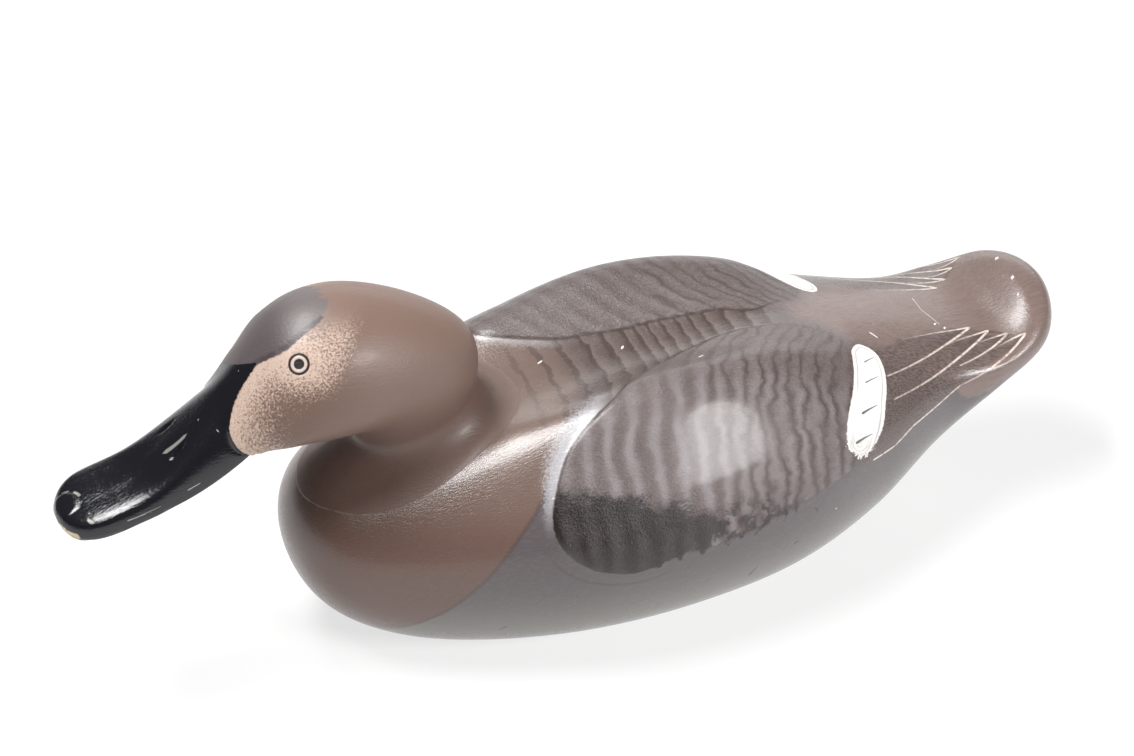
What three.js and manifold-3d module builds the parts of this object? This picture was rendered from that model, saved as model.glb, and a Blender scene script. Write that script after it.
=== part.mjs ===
// A canvasback hunting decoy, carved from wood in two pieces that are glued together:
// the body, and the head with its neck and bill. Millimetres, +Z up, +X towards the
// bill, +Y to the duck's left. The flat underside lies in the plane z = 0.
import * as THREE from "three";
import { mergeVertices } from "three/addons/utils/BufferGeometryUtils.js";
import Module from "manifold-3d";

// The body, from the breast back to the tail.
const BREAST_X = 125;
const BODY_LENGTH = 340;
// Each station: share of the length, half width, height of the back, height of the
// widest line, height of the belly, roundness above it, roundness below it, and how
// far each folded wing swells up beside the groove of the back.
const BODY_STATIONS = [
  [0.0, 0.0, 52.0, 52.0, 52.0, 2.0, 2.0, 0.0],
  [0.035, 32.0, 76.5, 49.0, 18.7, 2.0, 2.1, 0.0],
  [0.1, 47.5, 85.6, 51.0, 4.6, 2.0, 2.4, 0.0],
  [0.2, 62.5, 94.0, 53.0, -3.0, 2.1, 2.5, 3.5],
  [0.32, 75.5, 98.0, 55.0, -4.0, 2.2, 2.5, 12.0],
  [0.46, 78.0, 100.5, 56.0, -4.0, 2.2, 2.5, 18.0],
  [0.6, 70.5, 102.5, 57.0, -2.5, 2.2, 2.5, 9.0],
  [0.72, 54.5, 92.0, 61.0, 3.0, 2.2, 2.4, 0.0],
  [0.82, 39.5, 82.8, 67.0, 20.2, 2.3, 2.2, 0.0],
  [0.9, 37.2, 78.6, 71.5, 42.6, 2.3, 2.0, 0.0],
  [0.96, 31.0, 88.5, 74.5, 60.0, 2.2, 2.0, 0.0],
  [1.0, 0.0, 82.0, 82.0, 82.0, 2.0, 2.0, 0.0],
];
const SWELL_PLACE = 0.52; // share of the half width where a wing is highest
const SWELL_WIDTH = 0.26;

// Plan of the folded wing's carved upper edge, as distances back from the breast and
// out from the centre line, and the small step up onto the wing behind it.
const WING_EDGE_X = [34.0, 25.7, 2.2, -13.3, -29.0, -46.6, -77.8];
const WING_EDGE_Y = [64.2, 54.5, 33.6, 16.7, 10.8, 8.8, 1.8];
const WING_STEP = 1.2;
const WING_STEP_RUN = 5.0;
const WING_STEP_FADE = 22.0;

// The head, from the neck up over the crown and down to the tip of the bill.
// Each station: share of the way, upper outline x and z, lower outline x and z, half
// width, share of the depth below the widest line, roundness above and below it.
const HEAD_STATIONS = [
  [0.18, 42.5, 113.3, 94.7, 97.3, 22.2, 0.5, 2.0, 2.0],
  [0.3, 44.9, 133.8, 103.0, 105.1, 26.4, 0.5, 2.0, 2.0],
  [0.42, 67.9, 153.2, 115.8, 108.8, 31.0, 0.42, 2.0, 2.2],
  [0.54, 96.7, 163.9, 129.0, 110.0, 31.1, 0.4, 2.0, 2.4],
  [0.64, 119.6, 160.3, 138.2, 109.2, 25.9, 0.36, 2.0, 2.6],
  [0.72, 134.1, 147.5, 142.8, 106.4, 21.0, 0.34, 1.9, 3.0],
  [0.8, 150.2, 130.9, 151.8, 100.5, 18.1, 0.3, 1.8, 3.2],
  [0.9, 179.8, 105.4, 182.5, 89.7, 17.4, 0.3, 2.0, 3.2],
  [0.97, 204.6, 97.7, 207.5, 86.7, 15.0, 0.3, 2.2, 3.0],
  [1.0, 215.0, 92.0, 215.0, 92.0, 0.0, 0.3, 2.2, 3.0],
];
// The cheek ends in a raised lip over the bill, whose front runs round this centre.
const LIP_X = 147.5;
const LIP_Z = 124.0;
const LIP_BACKSWEEP = 0.026;
const LIP_CORNER_LENGTH = 9.0;
const LIP_CORNER_HEIGHT = 9.5;
const LIP_STEP = 1.0;
const LIP_RUN = 3.0;

// The oval seat on the breast that the neck is glued into, with its sloping floor.
const SEAT_X = 71.0;
const SEAT_HALF_LENGTH = 46.5;
const SEAT_HALF_WIDTH = 34.0;
const SEAT_FRONT_Z = 71.0;
const SEAT_SLOPE = 0.17;
const GLUE_LINE = 0.3;
const FLARE_PULL_BREAST = 1.35;
const FLARE_PULL_NECK = 0.9;

// Each eye is an engraved ring round a punched pupil.
const EYE_WAY = 0.427;
const EYE_ANGLE = 0.757;
const EYE_RING_RADIUS = 3.7;
const EYE_RING_WIDTH = 0.8;
const EYE_RING_DEPTH = 0.4;
const PUPIL_RADIUS = 1.8;
const PUPIL_DEPTH = 0.4;

// Each nostril is a shallow slot cut along the bill.
const NOSTRIL_WAY = 0.655;
const NOSTRIL_ANGLE = 1.12;
const NOSTRIL_LENGTH = 10.0;
const NOSTRIL_WIDTH = 2.6;
const NOSTRIL_DEPTH = 0.9;

const BODY_RINGS = 46;
const BODY_SIDES = 56;
const HEAD_RINGS = 40;
const FLARE_RINGS = 6;
const HEAD_SIDES = 36;

const wasm = await Module();
wasm.setup();

const { abs, asin, acos, cos, exp, max, min, PI, sign, sin, sqrt } = Math;
const clamp = (v) => min(1, max(0, v));
const ease = (v) => clamp(v) ** 2 * (3 - 2 * clamp(v));
const signedPower = (v, roundness) => sign(v) * abs(v) ** (2 / roundness);

// A smooth curve through the points (xs, ys), held at its end values outside them.
function spline(xs, ys) {
  const last = xs.length - 1;
  const step = (i) => xs[i + 1] - xs[i];
  const rise = (i) => (ys[i + 1] - ys[i]) / step(i);
  const inner = (i) =>
    (rise(i - 1) * step(i) + rise(i) * step(i - 1)) / (step(i - 1) + step(i));
  const slopes = xs.map((x, i) => (i > 0 && i < last ? inner(i) : 0));
  slopes[0] = 1.5 * rise(0) - 0.5 * slopes[1];
  slopes[last] = 1.5 * rise(last - 1) - 0.5 * slopes[last - 1];
  return (at) => {
    const x = min(xs[last], max(xs[0], at));
    let i = 0;
    while (i < last - 1 && x > xs[i + 1]) i += 1;
    const h = step(i);
    const u = (x - xs[i]) / h;
    const v = 1 - u;
    const ends = ys[i] * (1 + 2 * u) * v * v + ys[i + 1] * (3 - 2 * u) * u * u;
    return ends + h * u * v * (slopes[i] * v - slopes[i + 1] * u);
  };
}

const column = (rows, k) => rows.map((row) => row[k]);

// The body's shape. Its way t runs from 0 at the breast to 1 at the tail, slowly at
// both ends, so that they come out round.
const bodyWay = (share) => acos(1 - 2 * clamp(share)) / PI;
const bodyX = (t) => BREAST_X - (BODY_LENGTH * (1 - cos(PI * t))) / 2;
const bodyCurves = [1, 2, 3, 4, 5, 6, 7].map((k) =>
  spline(column(BODY_STATIONS, 0).map(bodyWay), column(BODY_STATIONS, k)),
);
const wingEdge = spline([...WING_EDGE_X].reverse(), [...WING_EDGE_Y].reverse());

// How far the wings stand above the plain round of the back at one place on it.
function wingRelief(x, y, halfWidth, upness, swell) {
  const across = abs(y) / max(halfWidth, 1e-6);
  const hump = exp(-(((across - SWELL_PLACE) / SWELL_WIDTH) ** 2));
  const groove = exp(-((SWELL_PLACE / SWELL_WIDTH) ** 2));
  const rear = WING_EDGE_X[WING_EDGE_X.length - 1];
  const along = ease((WING_EDGE_X[0] - x) / WING_STEP_FADE);
  const behind = ease((x - rear) / WING_STEP_FADE);
  const step = WING_STEP * ease((abs(y) - wingEdge(x)) / WING_STEP_RUN);
  return clamp(2 * upness) * (swell * (hump - groove) + step * along * behind);
}

function bodyPoint(t, angle) {
  const [half, back, wide, belly, above, below, swell] = bodyCurves.map((c) => c(t));
  const up = sin(angle);
  const x = bodyX(t);
  const y = max(half, 0) * signedPower(cos(angle), up >= 0 ? above : below);
  const reach = up >= 0 ? back - wide : wide - belly;
  const z = wide + reach * signedPower(up, up >= 0 ? above : below);
  const relief = up > 0 ? wingRelief(x, y, half, up, swell) : 0;
  return new THREE.Vector3(x, y, z + relief);
}

// Height of the body's upper surface over a place in plan.
function bodyTop(x, y) {
  const t = bodyWay((BREAST_X - x) / BODY_LENGTH);
  const [half, back, wide, , above, , swell] = bodyCurves.map((c) => c(t));
  const side = clamp(abs(y) / half) ** (above / 2);
  const up = sqrt(1 - side * side);
  const round = wide + (back - wide) * up ** (2 / above);
  return round + wingRelief(x, y, half, up, swell);
}

// The head's shape. Its way t runs from the neck to 1 at the tip of the bill, slowly
// at the tip. Angle 0 is the duck's left, and a quarter turn is the upper outline.
const headWay = (share) => (asin(share) * 2) / PI;
const headShares = column(HEAD_STATIONS, 0);
const headMiddle = [1, 2].map((k) =>
  spline(headShares, HEAD_STATIONS.map((row) => (row[k] + row[k + 2]) / 2)),
);
const headReach = [1, 2].map((k) =>
  spline(headShares.map(headWay), HEAD_STATIONS.map((row) => (row[k] - row[k + 2]) / 2)),
);
const headCurves = [5, 6, 7, 8].map((k) =>
  spline(headShares.map(headWay), column(HEAD_STATIONS, k)),
);
const NECK_WAY = headWay(headShares[0]);

// Distance in front of the cheek's lip, negative on the cheek and the crown.
function pastLip(x, z) {
  const above = LIP_X - LIP_BACKSWEEP * (z - LIP_Z) ** 2;
  const drop = clamp((LIP_Z - z) / LIP_CORNER_HEIGHT);
  const corner = LIP_X - LIP_CORNER_LENGTH * (1 - sqrt(1 - drop * drop));
  return x - (z > LIP_Z ? above : corner);
}

function headPoint(t, angle) {
  const share = sin((PI * t) / 2);
  const [middleX, middleZ] = headMiddle.map((c) => c(share));
  const [reachX, reachZ] = headReach.map((c) => c(t));
  const [half, low, above, below] = headCurves.map((c) => c(t));
  const up = sin(angle);
  const side = low + (up >= 0 ? 1 - low : low) * signedPower(up, up >= 0 ? above : below);
  const from = 2 * side - 1;
  const y = max(half, 0) * signedPower(cos(angle), up >= 0 ? above : below);
  const point = new THREE.Vector3(middleX + from * reachX, y, middleZ + from * reachZ);
  const sink = LIP_STEP * ease(pastLip(point.x, point.z) / LIP_RUN) * abs(cos(angle));
  point.y -= sign(y) * min(sink, abs(y) / 4);
  return point;
}

// The neck's foot: from the edge of the seat (share 0) it leaves the breast along its
// surface and sweeps up into the neck (share 1).
function flarePoint(share, angle, inset) {
  const onBody = (out) => {
    const x = SEAT_X - (SEAT_HALF_LENGTH + out) * sin(angle);
    const y = (SEAT_HALF_WIDTH + out) * cos(angle);
    return new THREE.Vector3(x, y, bodyTop(x, y));
  };
  const foot = onBody(-inset);
  const neck = headPoint(NECK_WAY, angle);
  const upNeck = headPoint(NECK_WAY + 0.01, angle).sub(neck).normalize();
  const inward = foot.clone().sub(onBody(1)).normalize();
  const span = neck.distanceTo(foot);
  const rest = 1 - share;
  return foot
    .multiplyScalar((1 + 2 * share) * rest * rest)
    .addScaledVector(inward, span * FLARE_PULL_BREAST * share * rest * rest)
    .addScaledVector(neck, (3 - 2 * share) * share * share)
    .addScaledVector(upNeck, -span * FLARE_PULL_NECK * share * share * rest);
}

const seatFloor = (x) => SEAT_FRONT_Z + SEAT_SLOPE * (SEAT_X + SEAT_HALF_LENGTH - x);

// A closed skin: a point, rings of points, and a point.
function skin(start, rings, end) {
  const sides = rings[0].length;
  const points = [start, ...rings.flat(), end];
  const index = [];
  for (let side = 0; side < sides; side += 1) {
    const next = (side + 1) % sides;
    index.push(0, 1 + next, 1 + side);
    for (let ring = 0; ring < rings.length - 1; ring += 1) {
      const low = 1 + ring * sides;
      const high = low + sides;
      index.push(low + side, low + next, high + next, low + side, high + next, high + side);
    }
    const top = 1 + (rings.length - 1) * sides;
    index.push(points.length - 1, top + side, top + next);
  }
  const geometry = new THREE.BufferGeometry().setFromPoints(points);
  return geometry.setIndex(index);
}

// The solid inside a closed mesh. A mirrored mesh has its faces turned out again.
function solid(geometry) {
  const bare = geometry.clone();
  bare.deleteAttribute("normal");
  bare.deleteAttribute("uv");
  const merged = mergeVertices(bare, 1e-4);
  const vertProperties = new Float32Array(merged.attributes.position.array);
  const triVerts = new Uint32Array(merged.index.array);
  const made = new wasm.Manifold(new wasm.Mesh({ numProp: 3, vertProperties, triVerts }));
  if (made.volume() > 0) return made;
  const turned = triVerts.reverse();
  return new wasm.Manifold(new wasm.Mesh({ numProp: 3, vertProperties, triVerts: turned }));
}

function cut(geometry, cutters) {
  const result = cutters.reduce((s, cutter) => s.subtract(solid(cutter)), solid(geometry));
  const { vertProperties, triVerts } = result.getMesh();
  const made = new THREE.BufferGeometry();
  made.setAttribute("position", new THREE.BufferAttribute(vertProperties, 3));
  made.setIndex(new THREE.BufferAttribute(triVerts, 1));
  made.computeVertexNormals();
  return made;
}

const angles = (sides) => Array.from({ length: sides }, (_, k) => (2 * PI * k) / sides);

function bodySkin() {
  const rings = [];
  for (let i = BODY_RINGS - 1; i > 0; i -= 1) {
    rings.push(angles(BODY_SIDES).map((angle) => bodyPoint(i / BODY_RINGS, angle)));
  }
  return skin(bodyPoint(1, 0), rings, bodyPoint(0, 0));
}

// All that is below the ground, to cut the underside flat.
function ground() {
  const depth = 20;
  const block = new THREE.BoxGeometry(1.5 * BODY_LENGTH, BODY_LENGTH, depth);
  return block.translate(0, 0, -depth / 2);
}

// All that is above the seat's floor, inside its oval.
function seat() {
  const height = 60;
  const tube = new THREE.CylinderGeometry(1, 1, height, 2 * HEAD_SIDES).rotateX(PI / 2);
  tube.scale(SEAT_HALF_LENGTH, SEAT_HALF_WIDTH, 1);
  tube.translate(SEAT_X, 0, SEAT_FRONT_Z + height / 2);
  const place = tube.attributes.position;
  for (let i = 0; i < place.count; i += 1) {
    if (place.getZ(i) < SEAT_FRONT_Z + 1) place.setZ(i, seatFloor(place.getX(i)));
  }
  return tube;
}

function headSkin() {
  const rings = [];
  const around = angles(HEAD_SIDES);
  const base = around.map((angle) => {
    const edge = flarePoint(0, angle, GLUE_LINE);
    return edge.setZ(seatFloor(edge.x) + GLUE_LINE);
  });
  rings.push(base);
  for (let i = 0; i < FLARE_RINGS; i += 1) {
    rings.push(around.map((angle) => flarePoint(i / FLARE_RINGS, angle, GLUE_LINE)));
  }
  for (let i = 0; i < HEAD_RINGS; i += 1) {
    const t = NECK_WAY + ((1 - NECK_WAY) * i) / HEAD_RINGS;
    rings.push(around.map((angle) => headPoint(t, angle)));
  }
  const middle = new THREE.Vector3(SEAT_X, 0, seatFloor(SEAT_X) + GLUE_LINE);
  return skin(middle, rings, headPoint(1, 0));
}

// Turns and moves a tool so that its z axis stands out of the head at one place, with
// its x axis along the bill. The side is 1 on the duck's left and -1 on its right.
function onHead(tool, way, angle, side) {
  const nudge = 0.002;
  const place = headPoint(way, angle);
  const forward = headPoint(way + nudge, angle).sub(place).normalize();
  const round = headPoint(way, angle + nudge).sub(place);
  const out = forward.clone().cross(round).normalize();
  if (out.y < 0) out.negate();
  const across = out.clone().cross(forward);
  tool.applyMatrix4(new THREE.Matrix4().makeBasis(forward, across, out).setPosition(place));
  return tool.scale(1, side, 1);
}

function eyeTools(side) {
  const inner = EYE_RING_RADIUS - EYE_RING_WIDTH / 2;
  const outer = EYE_RING_RADIUS + EYE_RING_WIDTH / 2;
  const clear = 1;
  const profile = [
    new THREE.Vector2(inner, clear),
    new THREE.Vector2(EYE_RING_RADIUS, -EYE_RING_DEPTH),
    new THREE.Vector2(outer, clear),
    new THREE.Vector2(inner, clear),
  ];
  const ring = new THREE.LatheGeometry(profile, 28).rotateX(PI / 2);
  const height = PUPIL_DEPTH + clear;
  const punch = new THREE.CylinderGeometry(PUPIL_RADIUS, PUPIL_RADIUS * 0.8, height, 18);
  punch.rotateX(PI / 2).translate(0, 0, height / 2 - PUPIL_DEPTH);
  const tools = [ring, punch];
  return tools.map((tool) => onHead(tool, EYE_WAY, EYE_ANGLE, side));
}

function nostrilTool(side) {
  const slot = new THREE.SphereGeometry(1, 16, 10);
  slot.scale(NOSTRIL_LENGTH / 2, NOSTRIL_WIDTH / 2, NOSTRIL_DEPTH);
  return onHead(slot, NOSTRIL_WAY, NOSTRIL_ANGLE, side);
}

const paint = (color, roughness) =>
  new THREE.MeshStandardMaterial({ color, roughness, metalness: 0 });

const bodyMesh = new THREE.Mesh(cut(bodySkin(), [ground(), seat()]), paint(0x7d7270, 0.35));
bodyMesh.name = "body";

const headTools = [1, -1].flatMap((side) => [...eyeTools(side), nostrilTool(side)]);
const headMesh = new THREE.Mesh(cut(headSkin(), headTools), paint(0x8e7468, 0.35));
headMesh.name = "head";

const decoy = new THREE.Group();
decoy.add(bodyMesh, headMesh);

export default decoy;
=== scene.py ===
"""A canvasback hunting decoy: the carved and painted surfaces of its two glued pieces."""

from functools import reduce

import bpy
import numpy as np
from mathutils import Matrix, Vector
from mathutils.kdtree import KDTree


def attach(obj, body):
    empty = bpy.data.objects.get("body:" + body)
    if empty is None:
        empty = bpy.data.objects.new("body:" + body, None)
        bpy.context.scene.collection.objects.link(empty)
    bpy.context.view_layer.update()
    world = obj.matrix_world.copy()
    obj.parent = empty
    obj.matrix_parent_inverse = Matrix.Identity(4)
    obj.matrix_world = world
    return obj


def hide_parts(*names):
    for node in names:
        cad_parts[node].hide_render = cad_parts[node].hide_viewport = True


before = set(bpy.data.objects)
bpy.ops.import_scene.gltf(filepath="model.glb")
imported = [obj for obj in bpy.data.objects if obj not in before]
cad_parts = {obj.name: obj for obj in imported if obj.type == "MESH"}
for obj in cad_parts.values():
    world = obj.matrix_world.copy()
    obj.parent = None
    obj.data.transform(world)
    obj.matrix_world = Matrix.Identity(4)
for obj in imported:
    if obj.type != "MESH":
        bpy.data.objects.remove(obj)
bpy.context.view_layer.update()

# Sizes are millimetres, and become metres where a mesh or a light is made.
MM = 0.001
FULL_TURN = 6.2832

# The body, from the breast back to the tail. Each station: share of the length, half
# width, height of the back, of the widest line and of the belly, roundness above and
# below the widest line, and how far each folded wing swells beside the groove.
BREAST_X = 125.0
BODY_LENGTH = 340.0
BODY_STATIONS = [
    [0.0, 0.0, 52.0, 52.0, 52.0, 2.0, 2.0, 0.0],
    [0.035, 32.0, 76.5, 49.0, 18.7, 2.0, 2.1, 0.0],
    [0.1, 47.5, 85.6, 51.0, 4.6, 2.0, 2.4, 0.0],
    [0.2, 62.5, 94.0, 53.0, -3.0, 2.1, 2.5, 3.5],
    [0.32, 75.5, 98.0, 55.0, -4.0, 2.2, 2.5, 12.0],
    [0.46, 78.0, 100.5, 56.0, -4.0, 2.2, 2.5, 18.0],
    [0.6, 70.5, 102.5, 57.0, -2.5, 2.2, 2.5, 9.0],
    [0.72, 54.5, 92.0, 61.0, 3.0, 2.2, 2.4, 0.0],
    [0.82, 39.5, 82.8, 67.0, 20.2, 2.3, 2.2, 0.0],
    [0.9, 37.2, 78.6, 71.5, 42.6, 2.3, 2.0, 0.0],
    [0.96, 31.0, 88.5, 74.5, 60.0, 2.2, 2.0, 0.0],
    [1.0, 0.0, 82.0, 82.0, 82.0, 2.0, 2.0, 0.0],
]
SWELL_PLACE = 0.52
SWELL_WIDTH = 0.26
WING_STEP = 1.1
WING_STEP_RUN = 2.2
WING_STEP_REACH = 26.0
WING_STEP_REAR_X = -92.0
WING_STEP_REAR_RUN = 30.0
WING_STEP_LOW = 84.0
WING_STEP_LOW_RUN = 22.0
UNDERSIDE_EDGE = 1.2

# The head, from the neck over the crown to the tip of the bill. Each station: share of
# the way, upper outline x and z, lower outline x and z, half width, share of the depth
# below the widest line, roundness above and below it.
HEAD_STATIONS = [
    [0.18, 42.5, 113.3, 94.7, 97.3, 22.2, 0.5, 2.0, 2.0],
    [0.3, 44.9, 133.8, 103.0, 105.1, 26.4, 0.5, 2.0, 2.0],
    [0.42, 67.9, 153.2, 115.8, 108.8, 31.0, 0.42, 2.0, 2.2],
    [0.54, 96.7, 163.9, 129.0, 110.0, 31.1, 0.4, 2.0, 2.4],
    [0.64, 119.6, 160.3, 138.2, 109.2, 25.9, 0.36, 2.0, 2.6],
    [0.72, 134.1, 147.5, 142.8, 106.4, 22.0, 0.34, 1.9, 3.0],
    [0.8, 150.2, 130.9, 151.8, 100.3, 19.8, 0.3, 1.8, 3.2],
    [0.9, 179.8, 105.4, 182.5, 89.4, 19.1, 0.3, 3.8, 3.2],
    [0.97, 204.6, 97.7, 207.5, 86.5, 16.7, 0.3, 5.0, 3.0],
    [1.0, 215.0, 92.0, 215.0, 92.0, 0.0, 0.3, 2.2, 3.0],
]
LIP_X = 147.7
LIP_Z = 124.0
LIP_BACKSWEEP = 0.172
LIP_CURVE = 1.42
LIP_CORNER_LENGTH = 9.0
LIP_CORNER_HEIGHT = 9.5
LIP_STEP = 1.0
LIP_RUN = 1.3
LIP_GROOVE = 0.45

SEAT_X = 71.0
SEAT_HALF_LENGTH = 46.5
SEAT_HALF_WIDTH = 34.0
SEAT_FRONT_Z = 71.0
SEAT_SLOPE = 0.17
GLUE_LINE = 0.03
FLARE_PULL_BREAST = 1.35
FLARE_PULL_NECK = 0.9
SEAM_NEAR = 6.0
SEAM_FAR = 30.0
SEAM_STRENGTH = 0.08

EYE_WAY = 0.427
EYE_ANGLE = 0.757
EYE_RING_RADIUS = 3.7
EYE_RING_WIDTH = 1.0
EYE_RING_DEPTH = 0.35
PUPIL_RADIUS = 2.05
PUPIL_DEPTH = 0.4
NOSTRIL_WAY = 0.658
NOSTRIL_ANGLE = 1.29
NOSTRIL_LENGTH = 11.0
NOSTRIL_WIDTH = 2.8
NOSTRIL_DEPTH = 0.9

# The lower edge of the upper bill in side view, over the set back lower bill.
BILL_EDGE_X = [136.0, 139.5, 150.5, 182.5, 207.5, 214.0]
BILL_EDGE_Z = [119.0, 116.0, 107.0, 94.3, 90.0, 90.6]
BILL_EDGE_INSET = 1.7
BILL_RIB_HEIGHT = 0.5
BILL_RIB_WIDTH = 3.6
NAIL_X = 211.8
NAIL_RADIUS = 7.0
NAIL_HEIGHT = 0.45

BODY_RINGS = 332
BODY_SIDES = 296
FLARE_RINGS = 56
HEAD_RINGS = 286
HEAD_SIDES = 286

# Outlines of the paint on the body. A place is its distance x along the body and its
# distance round it from the middle line of the back, so that an outline keeps its shape
# from the back down over the side.
WING_SIDE = [
    (34.3, 74), (33.5, 80), (30.7, 86.5), (25.7, 94), (19.3, 100.8), (10.7, 106.8), (0.8, 111),
    (-15.6, 113), (-30, 114), (-44.7, 111.7), (-56, 108), (-73.8, 98.4), (-86.3, 89),
    (-93, 83.8), (-99, 77), (-96, 66), (-99.7, 55.7), (-104.6, 46.3), (-108.8, 36.9),
    (-111.7, 28.9),
]
LEFT_WING = [
    (-80, 9), (-65, 9), (-48.6, 11.7), (-33.6, 17), (-18.7, 27.5), (-4.2, 37.6), (6.2, 42),
    (14.9, 45.6), (21.5, 50), (26.2, 55.4), (30.8, 62.8), (33.3, 68), *WING_SIDE,
    (-112, 20), (-106, 12.5), (-96, 8.5),
]
RIGHT_WING = [
    (-92, 6), (-80, 2.6), (-68.5, 6.4), (-55.3, 8.4), (-39.1, 11), (-29.6, 11.3), (-20.9, 12.5),
    (-10.9, 14.4), (-0.6, 16), (8.7, 19.7), (18, 24), (28.4, 30.3), (33, 38), (35, 50),
    (35, 62), *WING_SIDE, (-110.5, 18), (-104, 9.5),
]
WHITE_PATCH = [
    (-113.6, 24.7), (-118.6, 21.3), (-123.9, 25.5), (-124.4, 33), (-121.9, 42.1),
    (-118.2, 50.9), (-114.9, 59.3), (-111.1, 67), (-106.6, 74.2), (-99.7, 77.7),
    (-93, 73), (-95.2, 65.5), (-99.7, 55.7), (-104.6, 46.3), (-108.8, 36.9), (-111.7, 28.9),
]
RIGHT_WHITE_PATCH = [
    (-114.9, 15.7), (-110, 17.4), (-103.6, 23.2), (-97.3, 29.8), (-90, 36), (-85, 46), (-83, 57),
    (-83, 68), (-88, 76), (-95, 77), (-102, 71), (-107, 61), (-111, 51), (-114.5, 41),
    (-117.5, 31), (-119.5, 23), (-118.3, 17.5),
]
BREAST_PAINT = [
    (170, 70), (150, 92), (120, 96), (94.6, 92), (82, 89), (73.7, 86.3), (63.4, 80.5), (52.7, 73),
    (43.5, 67), (36.5, 62), (30.5, 54.5), (26.5, 49.3), (20.4, 42.8), (14.9, 36.3), (7, 25.4),
    (1.4, 14.6), (-4, 0), (0, -40), (80, -60), (170, -40),
]
TAIL_BROWN = [
    (-96, 0), (-104, 9), (-112, 18), (-124, 23), (-150, 40), (-158, 46), (-163, 51), (-172, 51),
    (-186, 46), (-215, 40), (-240, 30), (-240, -40), (-120, -40),
]
FEATHER_FAN = [
    (-112, 22), (-125.4, 24), (-141, 18), (-154.8, 16), (-165.6, 14.3), (-173, 15), (-177, 18),
    (-181, 19.5), (-187, 24.6), (-193, 29.6), (-189.3, 31.4), (-182.1, 33), (-174.5, 35.6),
    (-165.5, 39), (-158.6, 42.6), (-153.3, 46.8), (-145.5, 51.1), (-137.2, 55.3),
    (-130.9, 59.9), (-126.8, 64.1), (-120.8, 68.7), (-114.8, 72), (-109, 75.5), (-100, 77),
    (-104, 50),
]
# Where the dark strokes of the combed wing cross its middle, and those over the back
# between the wings cross the middle line.
WING_STROKES = [40, 31, 21, 12, 2, -8, -18, -28, -37, -45, -52, -59, -65.5, -72, -79,
                -86, -93, -101, -110, -120]
BACK_STROKES = [30, 20, 10, 0, -9.6, -18.2, -26.6, -32, -37.6, -43, -49, -54.4, -60.6, -68,
                -76, -85, -95]
WING_MIDDLE = 60.0
SWEEP_REACH = 38.0
SWEEP_TURN = 33.0
SWEEP_SLANT = 0.05
BACK_STROKE_BOW = 0.0055


def spline(xs, ys):
    """A smooth curve through the points (xs, ys), held at its end values outside them."""
    xs = np.asarray(xs, float)
    ys = np.asarray(ys, float)
    step = np.diff(xs)
    rise = np.diff(ys) / step
    slopes = np.empty(len(xs))
    slopes[1:-1] = (rise[:-1] * step[1:] + rise[1:] * step[:-1]) / (step[:-1] + step[1:])
    slopes[0] = 1.5 * rise[0] - 0.5 * slopes[1]
    slopes[-1] = 1.5 * rise[-1] - 0.5 * slopes[-2]

    def curve(at):
        x = np.clip(np.asarray(at, float), xs[0], xs[-1])
        i = np.clip(np.searchsorted(xs, x, side="right") - 1, 0, len(step) - 1)
        u = (x - xs[i]) / step[i]
        v = 1 - u
        ends = ys[i] * (1 + 2 * u) * v * v + ys[i + 1] * (3 - 2 * u) * u * u
        return ends + step[i] * u * v * (slopes[i] * v - slopes[i + 1] * u)

    return curve


def ease(v):
    v = np.clip(v, 0, 1)
    return v * v * (3 - 2 * v)


def hill(v):
    """A smooth hill, 1 at 0 and nearly 0 beyond 2."""
    return np.exp(-v * v)


def signed_power(v, roundness):
    return np.sign(v) * np.abs(v) ** (2 / roundness)


def unit(v):
    return v / np.maximum(np.linalg.norm(v, axis=-1, keepdims=True), 1e-9)


body_table = np.array(BODY_STATIONS)
head_table = np.array(HEAD_STATIONS)


def body_way(share):
    return np.arccos(1 - 2 * np.clip(share, 0, 1)) / np.pi


body_curves = [spline(body_way(body_table[:, 0]), body_table[:, k]) for k in range(1, 8)]


def wing_swell(across, upness, swell):
    groove = hill(SWELL_PLACE / SWELL_WIDTH)
    hump = hill((across - SWELL_PLACE) / SWELL_WIDTH) - groove
    return np.clip(2 * upness, 0, 1) * swell * hump


def body_point(t, angle):
    half, back, wide, belly, above, below, swell = [c(t) for c in body_curves]
    half = np.maximum(half, 0)
    up = np.sin(angle)
    roundness = np.where(up >= 0, above, below)
    x = BREAST_X - BODY_LENGTH * (1 - np.cos(np.pi * t)) / 2 + 0 * angle
    y = half * signed_power(np.cos(angle), roundness)
    z = wide + np.where(up >= 0, back - wide, wide - belly) * signed_power(up, roundness)
    across = np.abs(y) / np.maximum(half, 1e-6)
    relief = np.where(up > 0, wing_swell(across, up, swell), 0)
    return np.stack([x, y, z + relief], -1)


def body_top(x, y):
    """Height of the body's upper surface over a place in plan."""
    t = body_way((BREAST_X - x) / BODY_LENGTH)
    half, back, wide, _, above, _, swell = [c(t) for c in body_curves]
    across = np.clip(np.abs(y) / half, 0, 1)
    up = np.sqrt(1 - across**above)
    return wide + (back - wide) * up ** (2 / above) + wing_swell(across, up, swell)


def head_way(share):
    return np.arcsin(share) * 2 / np.pi


head_shares = head_table[:, 0]
NECK_WAY = head_way(head_shares[0])
head_middle = [spline(head_shares, (head_table[:, k] + head_table[:, k + 2]) / 2) for k in (1, 2)]
head_reach = [
    spline(head_way(head_shares), (head_table[:, k] - head_table[:, k + 2]) / 2) for k in (1, 2)
]
head_curves = [spline(head_way(head_shares), head_table[:, k]) for k in (5, 6, 7, 8)]


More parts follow.
